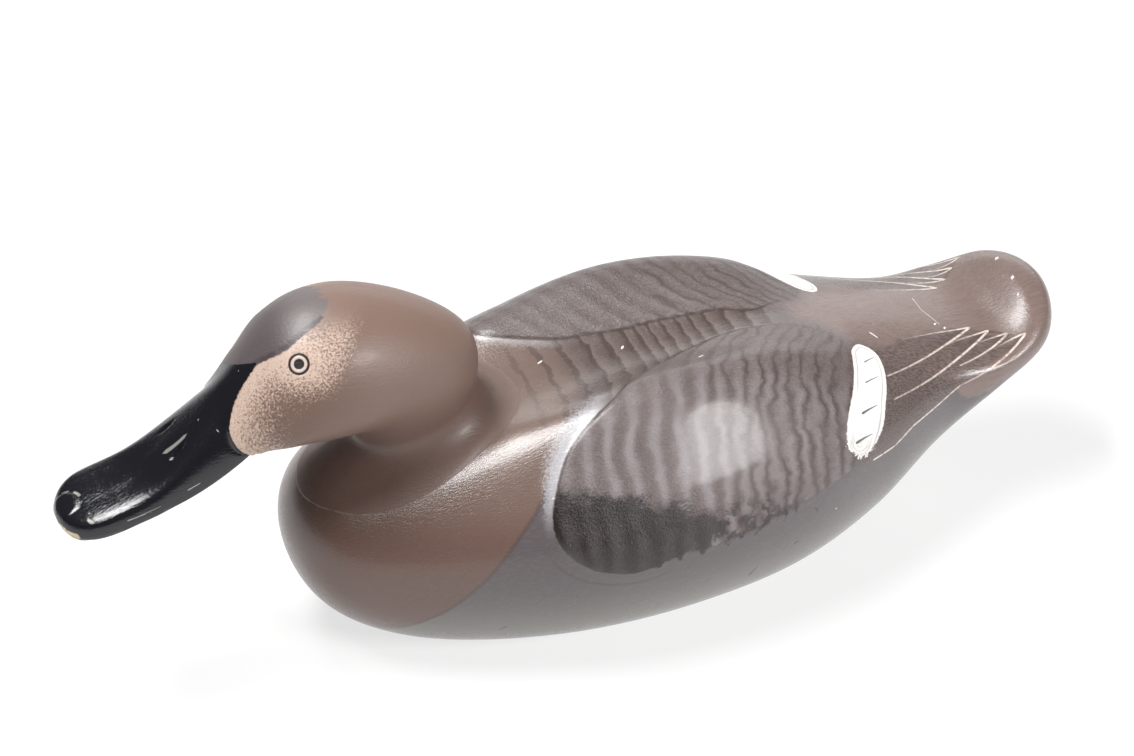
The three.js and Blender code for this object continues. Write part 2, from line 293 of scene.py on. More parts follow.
def head_point(t, angle):
    """The plain head. Angle 0 is the duck's left, and a quarter turn the upper outline."""
    share = np.sin(np.pi * t / 2)
    middle_x, middle_z = [c(share) for c in head_middle]
    reach_x, reach_z = [c(t) for c in head_reach]
    half, low, above, below = [c(t) for c in head_curves]
    up = np.sin(angle)
    roundness = np.where(up >= 0, above, below)
    side = low + np.where(up >= 0, 1 - low, low) * signed_power(up, roundness)
    y = np.maximum(half, 0) * signed_power(np.cos(angle), roundness)
    out = 2 * side - 1
    return np.stack([middle_x + out * reach_x, y, middle_z + out * reach_z], -1)


def flare_point(share, angle, inset):
    """The neck's foot: from the seat's edge on the breast (share 0) up to the neck (1)."""

    def on_body(out):
        x = SEAT_X - (SEAT_HALF_LENGTH + out) * np.sin(angle)
        y = (SEAT_HALF_WIDTH + out) * np.cos(angle)
        return np.stack([x, y, body_top(x, y)], -1)

    foot = on_body(-inset)
    neck = head_point(NECK_WAY + 0 * angle, angle)
    up_neck = unit(head_point(NECK_WAY + 0.01 + 0 * angle, angle) - neck)
    inward = unit(foot - on_body(1.0))
    span = np.linalg.norm(neck - foot, axis=-1, keepdims=True)
    rest = 1 - share
    start = foot * (1 + 2 * share) * rest**2 + inward * span * FLARE_PULL_BREAST * share * rest**2
    end = neck * (3 - 2 * share) * share**2 - up_neck * span * FLARE_PULL_NECK * share**2 * rest
    return start + end


def seat_floor(x):
    return SEAT_FRONT_Z + SEAT_SLOPE * (SEAT_X + SEAT_HALF_LENGTH - x)


def smooth_outline(points, pieces=10):
    """A closed outline that runs smoothly through its points."""
    p = np.array(points, float)
    before, after, beyond = np.roll(p, 1, 0), np.roll(p, -1, 0), np.roll(p, -2, 0)
    u = (np.arange(pieces) / pieces)[:, None, None]
    curve = 2 * p + (after - before) * u
    curve = curve + (2 * before - 5 * p + 4 * after - beyond) * u**2
    curve = (curve + (3 * p - before - 3 * after + beyond) * u**3) / 2
    return curve.transpose(1, 0, 2).reshape(-1, 2)


def inside_by(points, place):
    """How far each place is inside a closed outline, negative outside it."""
    line = smooth_outline(points)
    starts, runs = line, np.roll(line, -1, 0) - line
    nearest = np.full(len(place), 1e9)
    crossings = np.zeros(len(place), bool)
    for start, run in zip(starts, runs):
        gap = place - start
        along = np.clip(gap @ run / max(run @ run, 1e-9), 0, 1)
        off = gap - along[:, None] * run
        nearest = np.minimum(nearest, (off**2).sum(1))
        spans = (place[:, 1] < start[1]) != (place[:, 1] < start[1] + run[1])
        slope = run[0] / (run[1] if abs(run[1]) > 1e-9 else 1e-9)
        crossings ^= spans & (place[:, 0] < start[0] + (place[:, 1] - start[1]) * slope)
    return np.sqrt(nearest) * np.where(crossings, 1, -1)


def spread(count, low, high, peaks):
    """Values from low to high, closer together near each peak (place, width, closeness)."""
    fine = np.linspace(low, high, 4001)
    weight = 1 + sum(close * hill((fine - place) / width) for place, width, close in peaks)
    total = np.concatenate([[0], np.cumsum((weight[1:] + weight[:-1]) / 2)])
    return np.interp(np.linspace(0, total[-1], count), total, fine)


def grid_normals(grid):
    """Outward directions on a grid of rings, whose last axis of places runs round."""
    along = np.gradient(grid, axis=0)
    around = (np.roll(grid, -1, 1) - np.roll(grid, 1, 1)) / 2
    return unit(np.cross(around, along))


def ring_faces(rings, sides):
    ring, side = np.meshgrid(np.arange(rings - 1), np.arange(sides), indexing="ij")
    following = (side + 1) % sides
    quads = [ring * sides + side, ring * sides + following]
    quads += [(ring + 1) * sides + following, (ring + 1) * sides + side]
    return np.stack(quads, -1).reshape(-1, 4).tolist()


def closed_mesh(name, start, rings, end):
    """A closed mesh from a point, rings of points, and a point, in metres."""
    count, sides = rings.shape[:2]
    points = np.concatenate([rings.reshape(-1, 3), [start, end]]) * MM
    faces = ring_faces(count, sides)
    first, last = count * sides, count * sides + 1
    top = (count - 1) * sides
    for side in range(sides):
        following = (side + 1) % sides
        faces.append([first, following, side])
        faces.append([last, top + side, top + following])
    mesh = bpy.data.meshes.new(name)
    mesh.from_pydata(points.tolist(), [], faces)
    mesh.validate()
    return mesh


def new_object(name, data):
    made = bpy.data.objects.new(name, data)
    bpy.context.scene.collection.objects.link(made)
    return made


def write_field(mesh, name, values):
    """Stores one value or one vector for each point of a mesh."""
    kind, key = ("FLOAT", "value") if values.ndim == 1 else ("FLOAT_VECTOR", "vector")
    field = mesh.attributes.new(name, kind, "POINT")
    field.data.foreach_set(key, np.ascontiguousarray(values, np.float32).ravel())


def mesh_points(mesh):
    points = np.empty(len(mesh.vertices) * 3)
    mesh.vertices.foreach_get("co", points)
    return points.reshape(-1, 3) / MM


def wing_outline_depth(place):
    """How far each place on the body is inside either wing's paint."""
    mirrored = np.abs(place)
    mirrored[:, 0] = place[:, 0]
    left = inside_by(LEFT_WING, mirrored)
    right = inside_by(RIGHT_WING, mirrored)
    return np.where(place[:, 1] > 0, left, right)


def body_grid():
    """Rings from the breast to the tail, each evenly spaced from the back to the belly."""
    half = BODY_SIDES // 2
    fine = np.linspace(np.pi / 2, -np.pi / 2, 1201)
    t = np.linspace(0, 1, BODY_RINGS + 2)[1:-1, None]
    dense = body_point(t, fine[None, :])
    steps = np.linalg.norm(np.diff(dense, axis=1), axis=-1)
    length = np.concatenate([np.zeros((len(t), 1)), np.cumsum(steps, 1)], 1)
    left, girth = [], []
    for i, way in enumerate(t[:, 0]):
        out = np.linspace(0, length[i, -1], half + 1)
        left.append(body_point(way, np.interp(out, length[i], fine)))
        girth.append(out)
    left, girth = np.array(left), np.array(girth)
    right = left[:, -2:0:-1] * [1, -1, 1]
    grid = np.concatenate([left, right], 1)
    around = np.concatenate([girth, -girth[:, -2:0:-1]], 1)
    return grid, around


def carve_body(grid, around):
    """The crisp step up onto each folded wing, and the flat underside."""
    place = np.stack([grid[..., 0], around], -1).reshape(-1, 2)
    depth = wing_outline_depth(place).reshape(around.shape)
    rear = ease((grid[..., 0] - WING_STEP_REAR_X) / WING_STEP_REAR_RUN)
    low = 1 - ease((np.abs(around) - WING_STEP_LOW) / WING_STEP_LOW_RUN)
    rise = WING_STEP * ease((depth + 0.6) / WING_STEP_RUN) * ease(1 - depth / WING_STEP_REACH)
    grid = grid + grid_normals(grid) * (rise * rear * low)[..., None]
    z = grid[..., 2]
    soft = (z + UNDERSIDE_EDGE) ** 2 / (4 * UNDERSIDE_EDGE)
    grid[..., 2] = np.where(z > UNDERSIDE_EDGE, z, np.where(z < -UNDERSIDE_EDGE, 0, soft))
    return grid


def seat_cutter():
    """All that is above the seat's floor, inside its oval."""
    sides, height = 2 * HEAD_SIDES, 60.0
    angle = np.linspace(0, 2 * np.pi, sides, endpoint=False)
    x = SEAT_X - SEAT_HALF_LENGTH * np.sin(angle)
    y = SEAT_HALF_WIDTH * np.cos(angle)
    low = np.stack([x, y, seat_floor(x)], -1)
    high = np.stack([x, y, 0 * x + SEAT_FRONT_Z + height], -1)
    floor = np.array([SEAT_X, 0, seat_floor(SEAT_X)])
    top = np.array([SEAT_X, 0, SEAT_FRONT_Z + height])
    return new_object("seat_cutter", closed_mesh("seat_cutter", floor, np.stack([low, high]), top))


def cut_seat(piece):
    """Cuts the seat out of the body and returns the new mesh."""
    cutter = seat_cutter()
    cut = piece.modifiers.new("seat", "BOOLEAN")
    cut.operation = "DIFFERENCE"
    cut.solver = "EXACT"
    cut.object = cutter
    graph = bpy.context.evaluated_depsgraph_get()
    mesh = bpy.data.meshes.new_from_object(piece.evaluated_get(graph))
    piece.modifiers.clear()
    bpy.data.objects.remove(cutter)
    return mesh


def carried_over(values, old_points, new_points, neighbours=3):
    """Values at new points, from the nearest old ones."""
    tree = KDTree(len(old_points))
    for i, point in enumerate(old_points):
        tree.insert(point, i)
    tree.balance()
    carried = np.empty(len(new_points))
    for i, point in enumerate(new_points):
        found = tree.find_n(point, neighbours)
        weights = [1 / (distance + 1e-4) ** 2 for _, _, distance in found]
        total = sum(w * values[index] for w, (_, index, _) in zip(weights, found))
        carried[i] = total / sum(weights)
    return carried


def stroke_phase(crossings, at):
    """Counts strokes along the body: whole numbers fall on the strokes."""
    places = np.array(crossings[::-1], float)
    return np.interp(at, places, np.arange(len(places), dtype=float))


def wing_sweep(around):
    """How far forwards a wing's stroke has swept at a distance round the body."""
    return SWEEP_REACH * np.tanh(around / SWEEP_TURN) + SWEEP_SLANT * around


def oval_gap(x, y):
    """How far a place in plan is outside the oval of the seat."""
    oval = np.hypot((x - SEAT_X) / SEAT_HALF_LENGTH, y / SEAT_HALF_WIDTH)
    return (oval - 1) * SEAT_HALF_WIDTH


def body_fields(mesh, around):
    """Stores what the body's paint is laid out by."""
    points = mesh_points(mesh)
    x, y, z = points.T
    place = np.stack([x, around], -1)
    mirrored = np.stack([x, np.abs(around)], -1)
    swept = x - wing_sweep(np.abs(around)) + wing_sweep(WING_MIDDLE)
    write_field(mesh, "skin", np.stack([x, around, z], -1))
    write_field(mesh, "wing", wing_outline_depth(place))
    patches = [inside_by(outline, mirrored) for outline in (WHITE_PATCH, RIGHT_WHITE_PATCH)]
    write_field(mesh, "white_patch", np.where(around > 0, *patches))
    write_field(mesh, "breast", inside_by(BREAST_PAINT, mirrored))
    write_field(mesh, "tail_brown", inside_by(TAIL_BROWN, mirrored))
    write_field(mesh, "feather_fan", inside_by(FEATHER_FAN, mirrored))
    write_field(mesh, "wing_strokes", stroke_phase(WING_STROKES, swept))
    write_field(mesh, "back_strokes", stroke_phase(BACK_STROKES, x - BACK_STROKE_BOW * around**2))
    write_field(mesh, "seam", oval_gap(x, y))


def sharpen(mesh, angle=0.9):
    mesh.shade_smooth()
    mesh.set_sharp_from_angle(angle=angle)


def make_body():
    grid, around = body_grid()
    carved = carve_body(grid, around)
    breast = np.array([BREAST_X, 0, BODY_STATIONS[0][3]])
    tail = np.array([BREAST_X - BODY_LENGTH, 0, BODY_STATIONS[-1][3]])
    piece = new_object("painted_body", closed_mesh("painted_body", breast, carved, tail))
    old_points = mesh_points(piece.data)
    old_around = np.concatenate([around.ravel(), [0, 0]])
    piece.data = cut_seat(piece)
    body_fields(piece.data, carried_over(old_around, old_points, mesh_points(piece.data)))
    sharpen(piece.data)
    return piece


def past_lip(x, z):
    """Distance in front of the cheek's lip, negative on the cheek and the crown."""
    above = LIP_X - LIP_BACKSWEEP * np.maximum(z - LIP_Z, 0) ** LIP_CURVE
    drop = np.clip((LIP_Z - z) / LIP_CORNER_HEIGHT, 0, 1)
    corner = LIP_X - LIP_CORNER_LENGTH * (1 - np.sqrt(1 - drop * drop))
    return x - np.where(z > LIP_Z, above, corner)


bill_edge = spline(BILL_EDGE_X, BILL_EDGE_Z)


def carve_bill(points, angle):
    """The cheek's lip, the set back lower bill, the rib along the top and the nail."""
    x, y, z = points[..., 0], points[..., 1], points[..., 2]
    side = np.abs(np.cos(angle))
    front = past_lip(x, z)
    sink = LIP_STEP * ease(front / LIP_RUN) + LIP_GROOVE * hill((front - 2.6) / 1.7)
    sink = sink * side * (1 - ease((x - 170) / 25) * 0.6)
    under = ease((bill_edge(x) - z) / 1.3) * ease((x - 137) / 3) * ease((212 - x) / 8)
    sink = sink + BILL_EDGE_INSET * under
    y = y - np.sign(y) * np.minimum(sink, np.abs(y) / 3)
    on_top = np.clip(np.sin(angle), 0, 1) ** 0.5 * ease(front / 14)
    rib = BILL_RIB_HEIGHT * hill(y / BILL_RIB_WIDTH)
    along_rib = ease((x - 158) / 14) * ease((211 - x) / 8)
    nail = ease((NAIL_RADIUS - np.hypot(x - NAIL_X, y)) / 1.6)
    z = z + on_top * (rib * along_rib + NAIL_HEIGHT * nail)
    return np.stack([x, y, z], -1)


def eye_place(side):
    point = head_point(np.array(EYE_WAY), np.array(EYE_ANGLE))
    return point * [1, side, 1]


def carve_eyes(points, out):
    """A ring and a pupil pressed into each side of the head."""
    for side in (1, -1):
        apart = np.linalg.norm(points - eye_place(side), axis=-1)
        ring = EYE_RING_DEPTH * hill((apart - EYE_RING_RADIUS) / (EYE_RING_WIDTH / 2))
        pupil = PUPIL_DEPTH * ease((PUPIL_RADIUS + 0.25 - apart) / 0.5)
        points = points - out * (ring + pupil)[..., None]
    return points


def carve_nostrils(points, out):
    """A leaf shaped slot along each side of the bill's top."""
    middle = head_point(np.array(NOSTRIL_WAY), np.array(NOSTRIL_ANGLE))
    forward = unit(head_point(np.array(NOSTRIL_WAY + 0.01), np.array(NOSTRIL_ANGLE)) - middle)
    for side in (1, -1):
        gap = points - middle * [1, side, 1]
        along = gap @ (forward * [1, side, 1]) / (NOSTRIL_LENGTH / 2)
        off = np.linalg.norm(gap, axis=-1) ** 2 - (along * NOSTRIL_LENGTH / 2) ** 2
        across = np.sqrt(np.maximum(off, 0)) / (NOSTRIL_WIDTH / 2)
        leaf = ease(1.6 * (1 - along**2 - across))
        points = points - out * (NOSTRIL_DEPTH * leaf)[..., None]
    return points


def head_grid():
    eye_angles = (EYE_ANGLE, np.pi - EYE_ANGLE)
    angle = spread(HEAD_SIDES + 1, 0, 2 * np.pi, [(a, 0.17, 1.6) for a in eye_angles])[:-1]
    way_peaks = [(EYE_WAY, 0.014, 3.2), (0.56, 0.03, 0.9), (NOSTRIL_WAY, 0.03, 0.5)]
    t = spread(HEAD_RINGS, NECK_WAY, 1, way_peaks)[:-1]
    flare = [flare_point(i / FLARE_RINGS, angle, GLUE_LINE) for i in range(FLARE_RINGS)]
    head = head_point(t[:, None], angle[None, :] + 0 * t[:, None])
    head = carve_bill(head, angle[None, :])
    grid = np.concatenate([np.array(flare), head])
    out = grid_normals(grid)
    return carve_nostrils(carve_eyes(grid, out), out)


def head_fields(mesh):
    """Stores what the head's paint is laid out by."""
    points = mesh_points(mesh)
    x, y, z = points.T
    write_field(mesh, "past_lip", past_lip(x, z))
    eye_gap = np.linalg.norm(points * [1, 0, 1] + np.abs(points) * [0, 1, 0] - eye_place(1), axis=1)
    write_field(mesh, "eye_gap", eye_gap)
    write_field(mesh, "under_bill", bill_edge(x) - z)
    above_body = z - body_top(np.clip(x, 0, SEAT_X + SEAT_HALF_LENGTH), y)
    write_field(mesh, "seam", np.where(above_body < SEAM_NEAR, oval_gap(x, y), -SEAM_FAR))


def make_head():
    grid = head_grid()
    wall = grid[0].copy()
    wall[:, 2] = seat_floor(wall[:, 0]) + GLUE_LINE
    rings = np.concatenate([wall[None], grid])
    middle = np.array([SEAT_X, 0, seat_floor(SEAT_X) + GLUE_LINE])
    tip = head_point(np.array(1.0), np.array(0.0))
    piece = new_object("painted_head", closed_mesh("painted_head", middle, rings, tip))
    head_fields(piece.data)
    sharpen(piece.data)
    return piece


class Graph:
    """Adds nodes to one tree. A plain value or another node's socket may fill an input."""

    def __init__(self, tree):
        self.tree = tree

    def fill(self, socket, value):
        if isinstance(value, bpy.types.NodeSocket):
            self.tree.links.new(value, socket)
        elif value is not None:
            socket.default_value = value

    def node(self, kind, inputs=None, **settings):
        made = self.tree.nodes.new(kind)
        for name, value in settings.items():
            setattr(made, name, value)
        for name, value in (inputs or {}).items():
            self.fill(made.inputs[name], value)
        return made

    def math(self, operation, *values, clamp=False):
        made = self.node("ShaderNodeMath", operation=operation, use_clamp=clamp)
        for socket, value in zip(made.inputs, values):
            self.fill(socket, value)
        return made.outputs[0]

    def add(self, a, b):
        return self.math("ADD", a, b)

    def subtract(self, a, b):
        return self.math("SUBTRACT", a, b)

    def over(self, a, b):
        return self.math("DIVIDE", a, b)

    def absolute(self, value):
        return self.math("ABSOLUTE", value)

    def times(self, *values):
        return reduce(lambda a, b: self.math("MULTIPLY", a, b), values)

    def most(self, *values):
        return reduce(lambda a, b: self.math("MAXIMUM", a, b), values)

    def least(self, *values):
        return reduce(lambda a, b: self.math("MINIMUM", a, b), values)

    def swing(self, noise, amount):
        """Noise from 0 to 1 made to swing about 0 by an amount."""
        return self.times(self.subtract(noise, 0.5), amount)

    def wave(self, phase):
        """A wave that is 1 at each whole number and -1 halfway between."""
        return self.math("COSINE", self.times(phase, FULL_TURN))

    def vector(self, operation, a, b=None, scale=None):
        made = self.node("ShaderNodeVectorMath", operation=operation)
        self.fill(made.inputs[0], a)
        self.fill(made.inputs[1], b)
        self.fill(made.inputs[3], scale)
        return made.outputs[1 if operation in ("LENGTH", "DOT_PRODUCT") else 0]

    def step(self, value, low, high, smooth=True):
        """0 below low, 1 above high, smooth between them."""
        kind = "SMOOTHSTEP" if smooth else "LINEAR"
        made = self.node("ShaderNodeMapRange", interpolation_type=kind)
        self.fill(made.inputs["Value"], value)
        self.fill(made.inputs["From Min"], low)
        self.fill(made.inputs["From Max"], high)
        return made.outputs["Result"]

    def mix(self, share, under, over):
        made = self.node("ShaderNodeMix", data_type="RGBA")
        self.fill(made.inputs["Factor"], share)
        self.fill(made.inputs["A"], colour(under))
        self.fill(made.inputs["B"], colour(over))
        return made.outputs["Result"]

    def near(self, value, centre, wide, narrow):
        """1 within narrow of the centre, 0 beyond wide of it."""
        return self.step(self.absolute(self.subtract(value, centre)), wide, narrow)

    def blend(self, share, low, high):
        """A plain number between two, by a share."""
        made = self.node("ShaderNodeMix", data_type="FLOAT")
        self.fill(made.inputs["Factor"], share)
        self.fill(made.inputs["A"], low)
        self.fill(made.inputs["B"], high)
        return made.outputs["Result"]

    def field(self, name, part="Fac"):
        return self.node("ShaderNodeAttribute", attribute_name=name).outputs[part]

    def split(self, vector):
        return self.node("ShaderNodeSeparateXYZ", {"Vector": vector}).outputs

    def join(self, x, y, z=0.0):
        return self.node("ShaderNodeCombineXYZ", {"X": x, "Y": y, "Z": z}).outputs[0]

    def object_place(self):
        """The place on the object, in millimetres."""
        place = self.node("ShaderNodeTexCoord").outputs["Object"]
        return self.vector("SCALE", place, scale=1 / MM)

    def noise(self, place, size, detail=2.0, roughness=0.5):
        """Soft noise from 0 to 1, with features of about one size in millimetres."""
        inputs = {"Vector": place, "Scale": 1 / size, "Detail": detail, "Roughness": roughness}
        return self.node("ShaderNodeTexNoise", inputs).outputs["Fac"]

    def use(self, group, **inputs):
        """Places a group of nodes. A space in an input's name is written as _ here."""
        made = self.node("ShaderNodeGroup", node_tree=group)
        for name, value in inputs.items():
            self.fill(made.inputs[name.replace("_", " ")], value)
        return made.outputs[0]


def colour(value):
    """A colour given by its three linear shares gets its fourth."""
    return (*value, 1.0) if isinstance(value, tuple) and len(value) == 3 else value


SOCKETS = {"F": "NodeSocketFloat", "V": "NodeSocketVector"}


def new_group(name, inputs, output):
    """A shader node group with named inputs {name: (kind, value)} and one number out."""
    tree = bpy.data.node_groups.new(name, "ShaderNodeTree")
    for title, (kind, value) in inputs.items():
        socket = tree.interface.new_socket(title, in_out="INPUT", socket_type=SOCKETS[kind])
        socket.default_value = value
    tree.interface.new_socket(output, in_out="OUTPUT", socket_type=SOCKETS["F"])
    graph = Graph(tree)
    graph.inputs = tree.nodes.new("NodeGroupInput").outputs
    graph.outputs = tree.nodes.new("NodeGroupOutput").inputs
    return tree, graph


def painted_edge_group():
    """The mask of a painted area from its distance inside its outline, ragged and grainy."""
    inputs = {"Inside": ("F", 0.0), "Ragged": ("F", 0.5), "Grain": ("F", 1.0), "Soft": ("F", 0.4)}
    tree, g = new_group("painted edge", inputs, "Mask")
    i = g.inputs
    place = g.object_place()
    grain = g.node("ShaderNodeTexNoise", {"Vector": place, "Detail": 3.0})
    g.fill(grain.inputs["Scale"], g.over(1.0, i["Grain"]))
    shift = g.swing(grain.outputs["Fac"], g.times(i["Ragged"], 3.0))
    inside = g.over(g.add(i["Inside"], shift), i["Soft"])
    g.fill(g.outputs["Mask"], g.step(inside, -0.5, 0.5))
    return tree


def stroke_group():
    """One brush stroke between two places, bent sideways, thinning and fading to its end."""
    inputs = {
        "Place": ("V", (0, 0, 0)), "Start": ("V", (0, 0, 0)), "End": ("V", (1, 0, 0)),
        "Bend": ("F", 0.0), "Start Width": ("F", 1.0), "End Width": ("F", 1.0),
        "Fade": ("F", 0.0), "Soft": ("F", 0.3),
    }
    tree, g = new_group("brush stroke", inputs, "Mask")
    i = g.inputs
    flat = g.vector("MULTIPLY", g.vector("SUBTRACT", i["Place"], i["Start"]), (1, 1, 0))
    run = g.vector("MULTIPLY", g.vector("SUBTRACT", i["End"], i["Start"]), (1, 1, 0))
    length = g.vector("LENGTH", run)
    along = g.over(g.vector("DOT_PRODUCT", flat, run), g.times(length, length))
    turned = g.split(g.vector("CROSS_PRODUCT", run, flat))
    across = g.over(turned["Z"], length)
    bow = g.times(4.0, along, g.subtract(1.0, along), i["Bend"])
    off = g.absolute(g.subtract(across, bow))
    width = g.blend(along, i["Start Width"], i["End Width"])
    near_end = g.times(g.least(along, g.subtract(1.0, along)), length)
    width = g.least(width, g.times(near_end, 1.2))
    edge = g.subtract(g.times(width, 0.5), off)
    shown = g.step(g.over(edge, i["Soft"]), -0.5, 0.5)
    strength = g.subtract(1.0, g.times(i["Fade"], g.step(along, 0.0, 1.0)))
    g.fill(g.outputs["Mask"], g.times(shown, strength))
    return tree


def brush_group():
    """Fine marks of the brush along x, which serve as a shade and as a height."""
    inputs = {"Place": ("V", (0, 0, 0)), "Length": ("F", 6.0), "Width": ("F", 0.7)}
    tree, g = new_group("brush marks", inputs, "Shade")
    i = g.inputs
    x, y, z = g.split(i["Place"])
    wander = g.times(g.noise(i["Place"], 14.0, 1.0), 5.0)
    stretched = g.join(
        g.over(x, i["Length"]),
        g.over(g.add(y, wander), i["Width"]),
        g.over(z, i["Width"]),
    )
    marks = g.node("ShaderNodeTexNoise", {"Vector": stretched, "Scale": 1.0, "Detail": 3.0})
    g.fill(g.outputs["Shade"], marks.outputs["Fac"])
    return tree


def stipple_group():
    """Small dots that close up into full paint as their amount rises from 0 to 1."""
    inputs = {"Amount": ("F", 0.5), "Size": ("F", 0.7), "Crisp": ("F", 0.12)}
    tree, g = new_group("stipple", inputs, "Mask")
    i = g.inputs
    place = g.object_place()
    scaled = g.node("ShaderNodeTexNoise", {"Vector": place, "Detail": 2.5, "Roughness": 0.75})
    g.fill(scaled.inputs["Scale"], g.over(1.0, i["Size"]))
    # noise keeps mostly between 0.25 and 0.75, so the amount is fitted to that
    level = g.subtract(0.74, g.times(i["Amount"], 0.5))
    over = g.over(g.subtract(scaled.outputs["Fac"], level), i["Crisp"])
    g.fill(g.outputs["Mask"], g.step(over, -0.5, 0.5))
    return tree


def flecks_group():
    """Scattered specks and chips: few, small, and each of its own size."""
    inputs = {"Spacing": ("F", 14.0), "Size": ("F", 0.5), "Share": ("F", 0.5)}
    tree, g = new_group("flecks", inputs, "Mask")
    i = g.inputs
    place = g.object_place()
    warp = g.node("ShaderNodeTexNoise", {"Vector": place, "Scale": 1.3, "Detail": 2.0})
    moved = g.vector("ADD", place, g.vector("SCALE", warp.outputs["Color"], scale=0.7))
    cells = g.node("ShaderNodeTexVoronoi", {"Vector": moved})
    g.fill(cells.inputs["Scale"], g.over(1.0, i["Spacing"]))
    chance = g.split(cells.outputs["Color"])
    keep = g.math("LESS_THAN", chance["X"], i["Share"])
    size = g.over(g.times(i["Size"], g.add(0.4, chance["Y"])), i["Spacing"])
    edge = g.subtract(size, cells.outputs["Distance"])
    shown = g.step(g.times(edge, i["Spacing"]), -0.1, 0.1)
    g.fill(g.outputs["Mask"], g.times(shown, keep))
    return tree


painted_edge = painted_edge_group()
brush_stroke = stroke_group()
brush_marks = brush_group()
stipple = stipple_group()
flecks = flecks_group()

# Paint colours, as linear shares of red, green and blue. A few of them also stand in for light or
# shade, as said where they are used.
HEAD_BROWN = (0.176, 0.114, 0.091)
NECK_BROWN = (0.135, 0.083, 0.067)
BREAST_BROWN = (0.13, 0.078, 0.063)
BACK_BROWN = (0.155, 0.108, 0.09)
SIDE_GREY = (0.098, 0.082, 0.086)
# A paler, greener grey: painted light from the floor low on the sides, and also the colour of the
# sides' lighter brush streaks.
FLOOR_LIT_AND_STREAK_GREY = (0.175, 0.165, 0.15)
TAIL_MAUVE = (0.2, 0.143, 0.127)
WING_GREY = (0.105, 0.081, 0.075)
WING_LIGHT = (0.17, 0.138, 0.135)
WING_PALE = (0.27, 0.24, 0.25)
BACK_DARK = (0.082, 0.06, 0.054)
BACK_LIGHT = (0.16, 0.127, 0.117)
WING_DARK = (0.055, 0.038, 0.034)
WING_BLACK = (0.011, 0.005, 0.004)
# Pale grey paint lightened further to carry a painted sheen along the band before each wing.
PALE_BAND_AND_SHEEN = (0.52, 0.51, 0.53)
STROKE_DARK = (0.07, 0.05, 0.045)
PATCH_WHITE = (0.85, 0.84, 0.82)
PATCH_CREAM = (0.46, 0.4, 0.37)
DASH_BLACK = (0.05, 0.055, 0.06)
FEATHER_CREAM = (0.72, 0.62, 0.55)
FEATHER_DARK = (0.078, 0.057, 0.052)
FEATHER_FILL = (0.145, 0.112, 0.104)
CHEEK_CREAM = (0.5, 0.375, 0.305)
CHEEK_DOT = (0.13, 0.075, 0.055)
CROWN_GREY = (0.12, 0.103, 0.1)
CROWN_EDGE = (0.035, 0.022, 0.03)
BILL_BLACK = (0.008, 0.008, 0.011)
BARE_WOOD = (0.62, 0.5, 0.33)
CHALK = (0.75, 0.72, 0.66)
IRIS_CREAM = (0.5, 0.4, 0.35)
EYE_BLACK = (0.009, 0.006, 0.006)

# The gloss of the paint, and the heights of its marks in millimetres.
BODY_ROUGHNESS = (0.2, 0.32)
WING_ROUGHER = 0.06
BODY_COAT = 0.2
BODY_COAT_ROUGHNESS = 0.14
HEAD_ROUGHNESS = 0.48
HEAD_COAT = 0.06
HEAD_COAT_ROUGHNESS = 0.16
BILL_ROUGHNESS = 0.17
BILL_COAT = 0.15
MARK_HEIGHT = 0.15
PORE_HEIGHT = 0.42
HEAD_PORE_HEIGHT = 0.09
COMB_HEIGHT = 0.2
CHIP_DEPTH = 0.15
TIP_CHIP_DEPTH = 0.4

# Where the paint of the head lies.
CHEEK_MIDDLE = (121.0, 0.0, 129.0)
CROWN_REAR_X = 102.5
CROWN_HALF_WIDTHS = (9.5, 13.6, 7.2)
CROWN_WIDER_RIGHT = 7.0
BILL_TOP_Z = 142.8
BILL_TOP_SLANT = 0.62

# Tail feathers: each is a hairpin of two strokes from its tip. Tip, end of the upper
# stroke, its bend, end of the lower stroke, its bend.
TAIL_FEATHERS = [
    [(-174.5, 14.8), (-140, 18.5), -0.6, (-124, 37.8), 1.2],
    [(-181, 19.2), (-158, 23.7), -1.0, (-123, 48.3), 1.4],
    [(-187, 24.8), (-172, 24.9), -1.0, (-160, 34.2), 0.7],
    [(-193.2, 29.5), (-178, 29.8), -1.2, (-158.6, 42.6), 0.6],
]
# The long lower line of the folded wing's tips: its places from rear to front.
LONG_LINE = [(-158.6, 42.4), (-145.5, 51.2), (-131, 59.8), (-120.5, 68.9), (-108, 76)]
PATCH_DASHES = [
    [(-116.1, 31.5), (-122.3, 28.4), 0.6],
    [(-112.1, 41.8), (-120, 38), 0.6],
    [(-105.1, 56.4), (-114.3, 51.2), 1.0],
    [(-98.8, 70), (-108.4, 64.1), 1.1],
]


# Dark nicks in the sides: place, end, width.
SIDE_NICKS = [
    [(-47, 137.5), (-50, 131.5), 1.1],
    [(-76, 101.5), (-78, 104.5), 0.8],
    [(53, 112), (56, 114), 0.9],
    [(-67, 121), (-70, 119.5), 0.6],
]


def new_material(name, coat_roughness):
    material = bpy.data.materials.new(name)
    material.use_nodes = True
    graph = Graph(material.node_tree)
    shader = material.node_tree.nodes["Principled BSDF"]
    shader.inputs["Coat Roughness"].default_value = coat_roughness
    shader.inputs["Coat IOR"].default_value = 1.5
    return material, graph, shader


def stroke(g, place, start, end, bend, width, end_width, fade=0.0, soft=0.35):
    return g.use(
        brush_stroke, Place=place, Start=(*start, 0), End=(*end, 0), Bend=bend,
        Start_Width=width, End_Width=end_width, Fade=fade, Soft=soft,
    )


def mirror_skin(g, skin):
    """Places round the body with the right side folded onto the left."""
    x, around, _ = g.split(skin)
    return g.join(x, g.absolute(around))


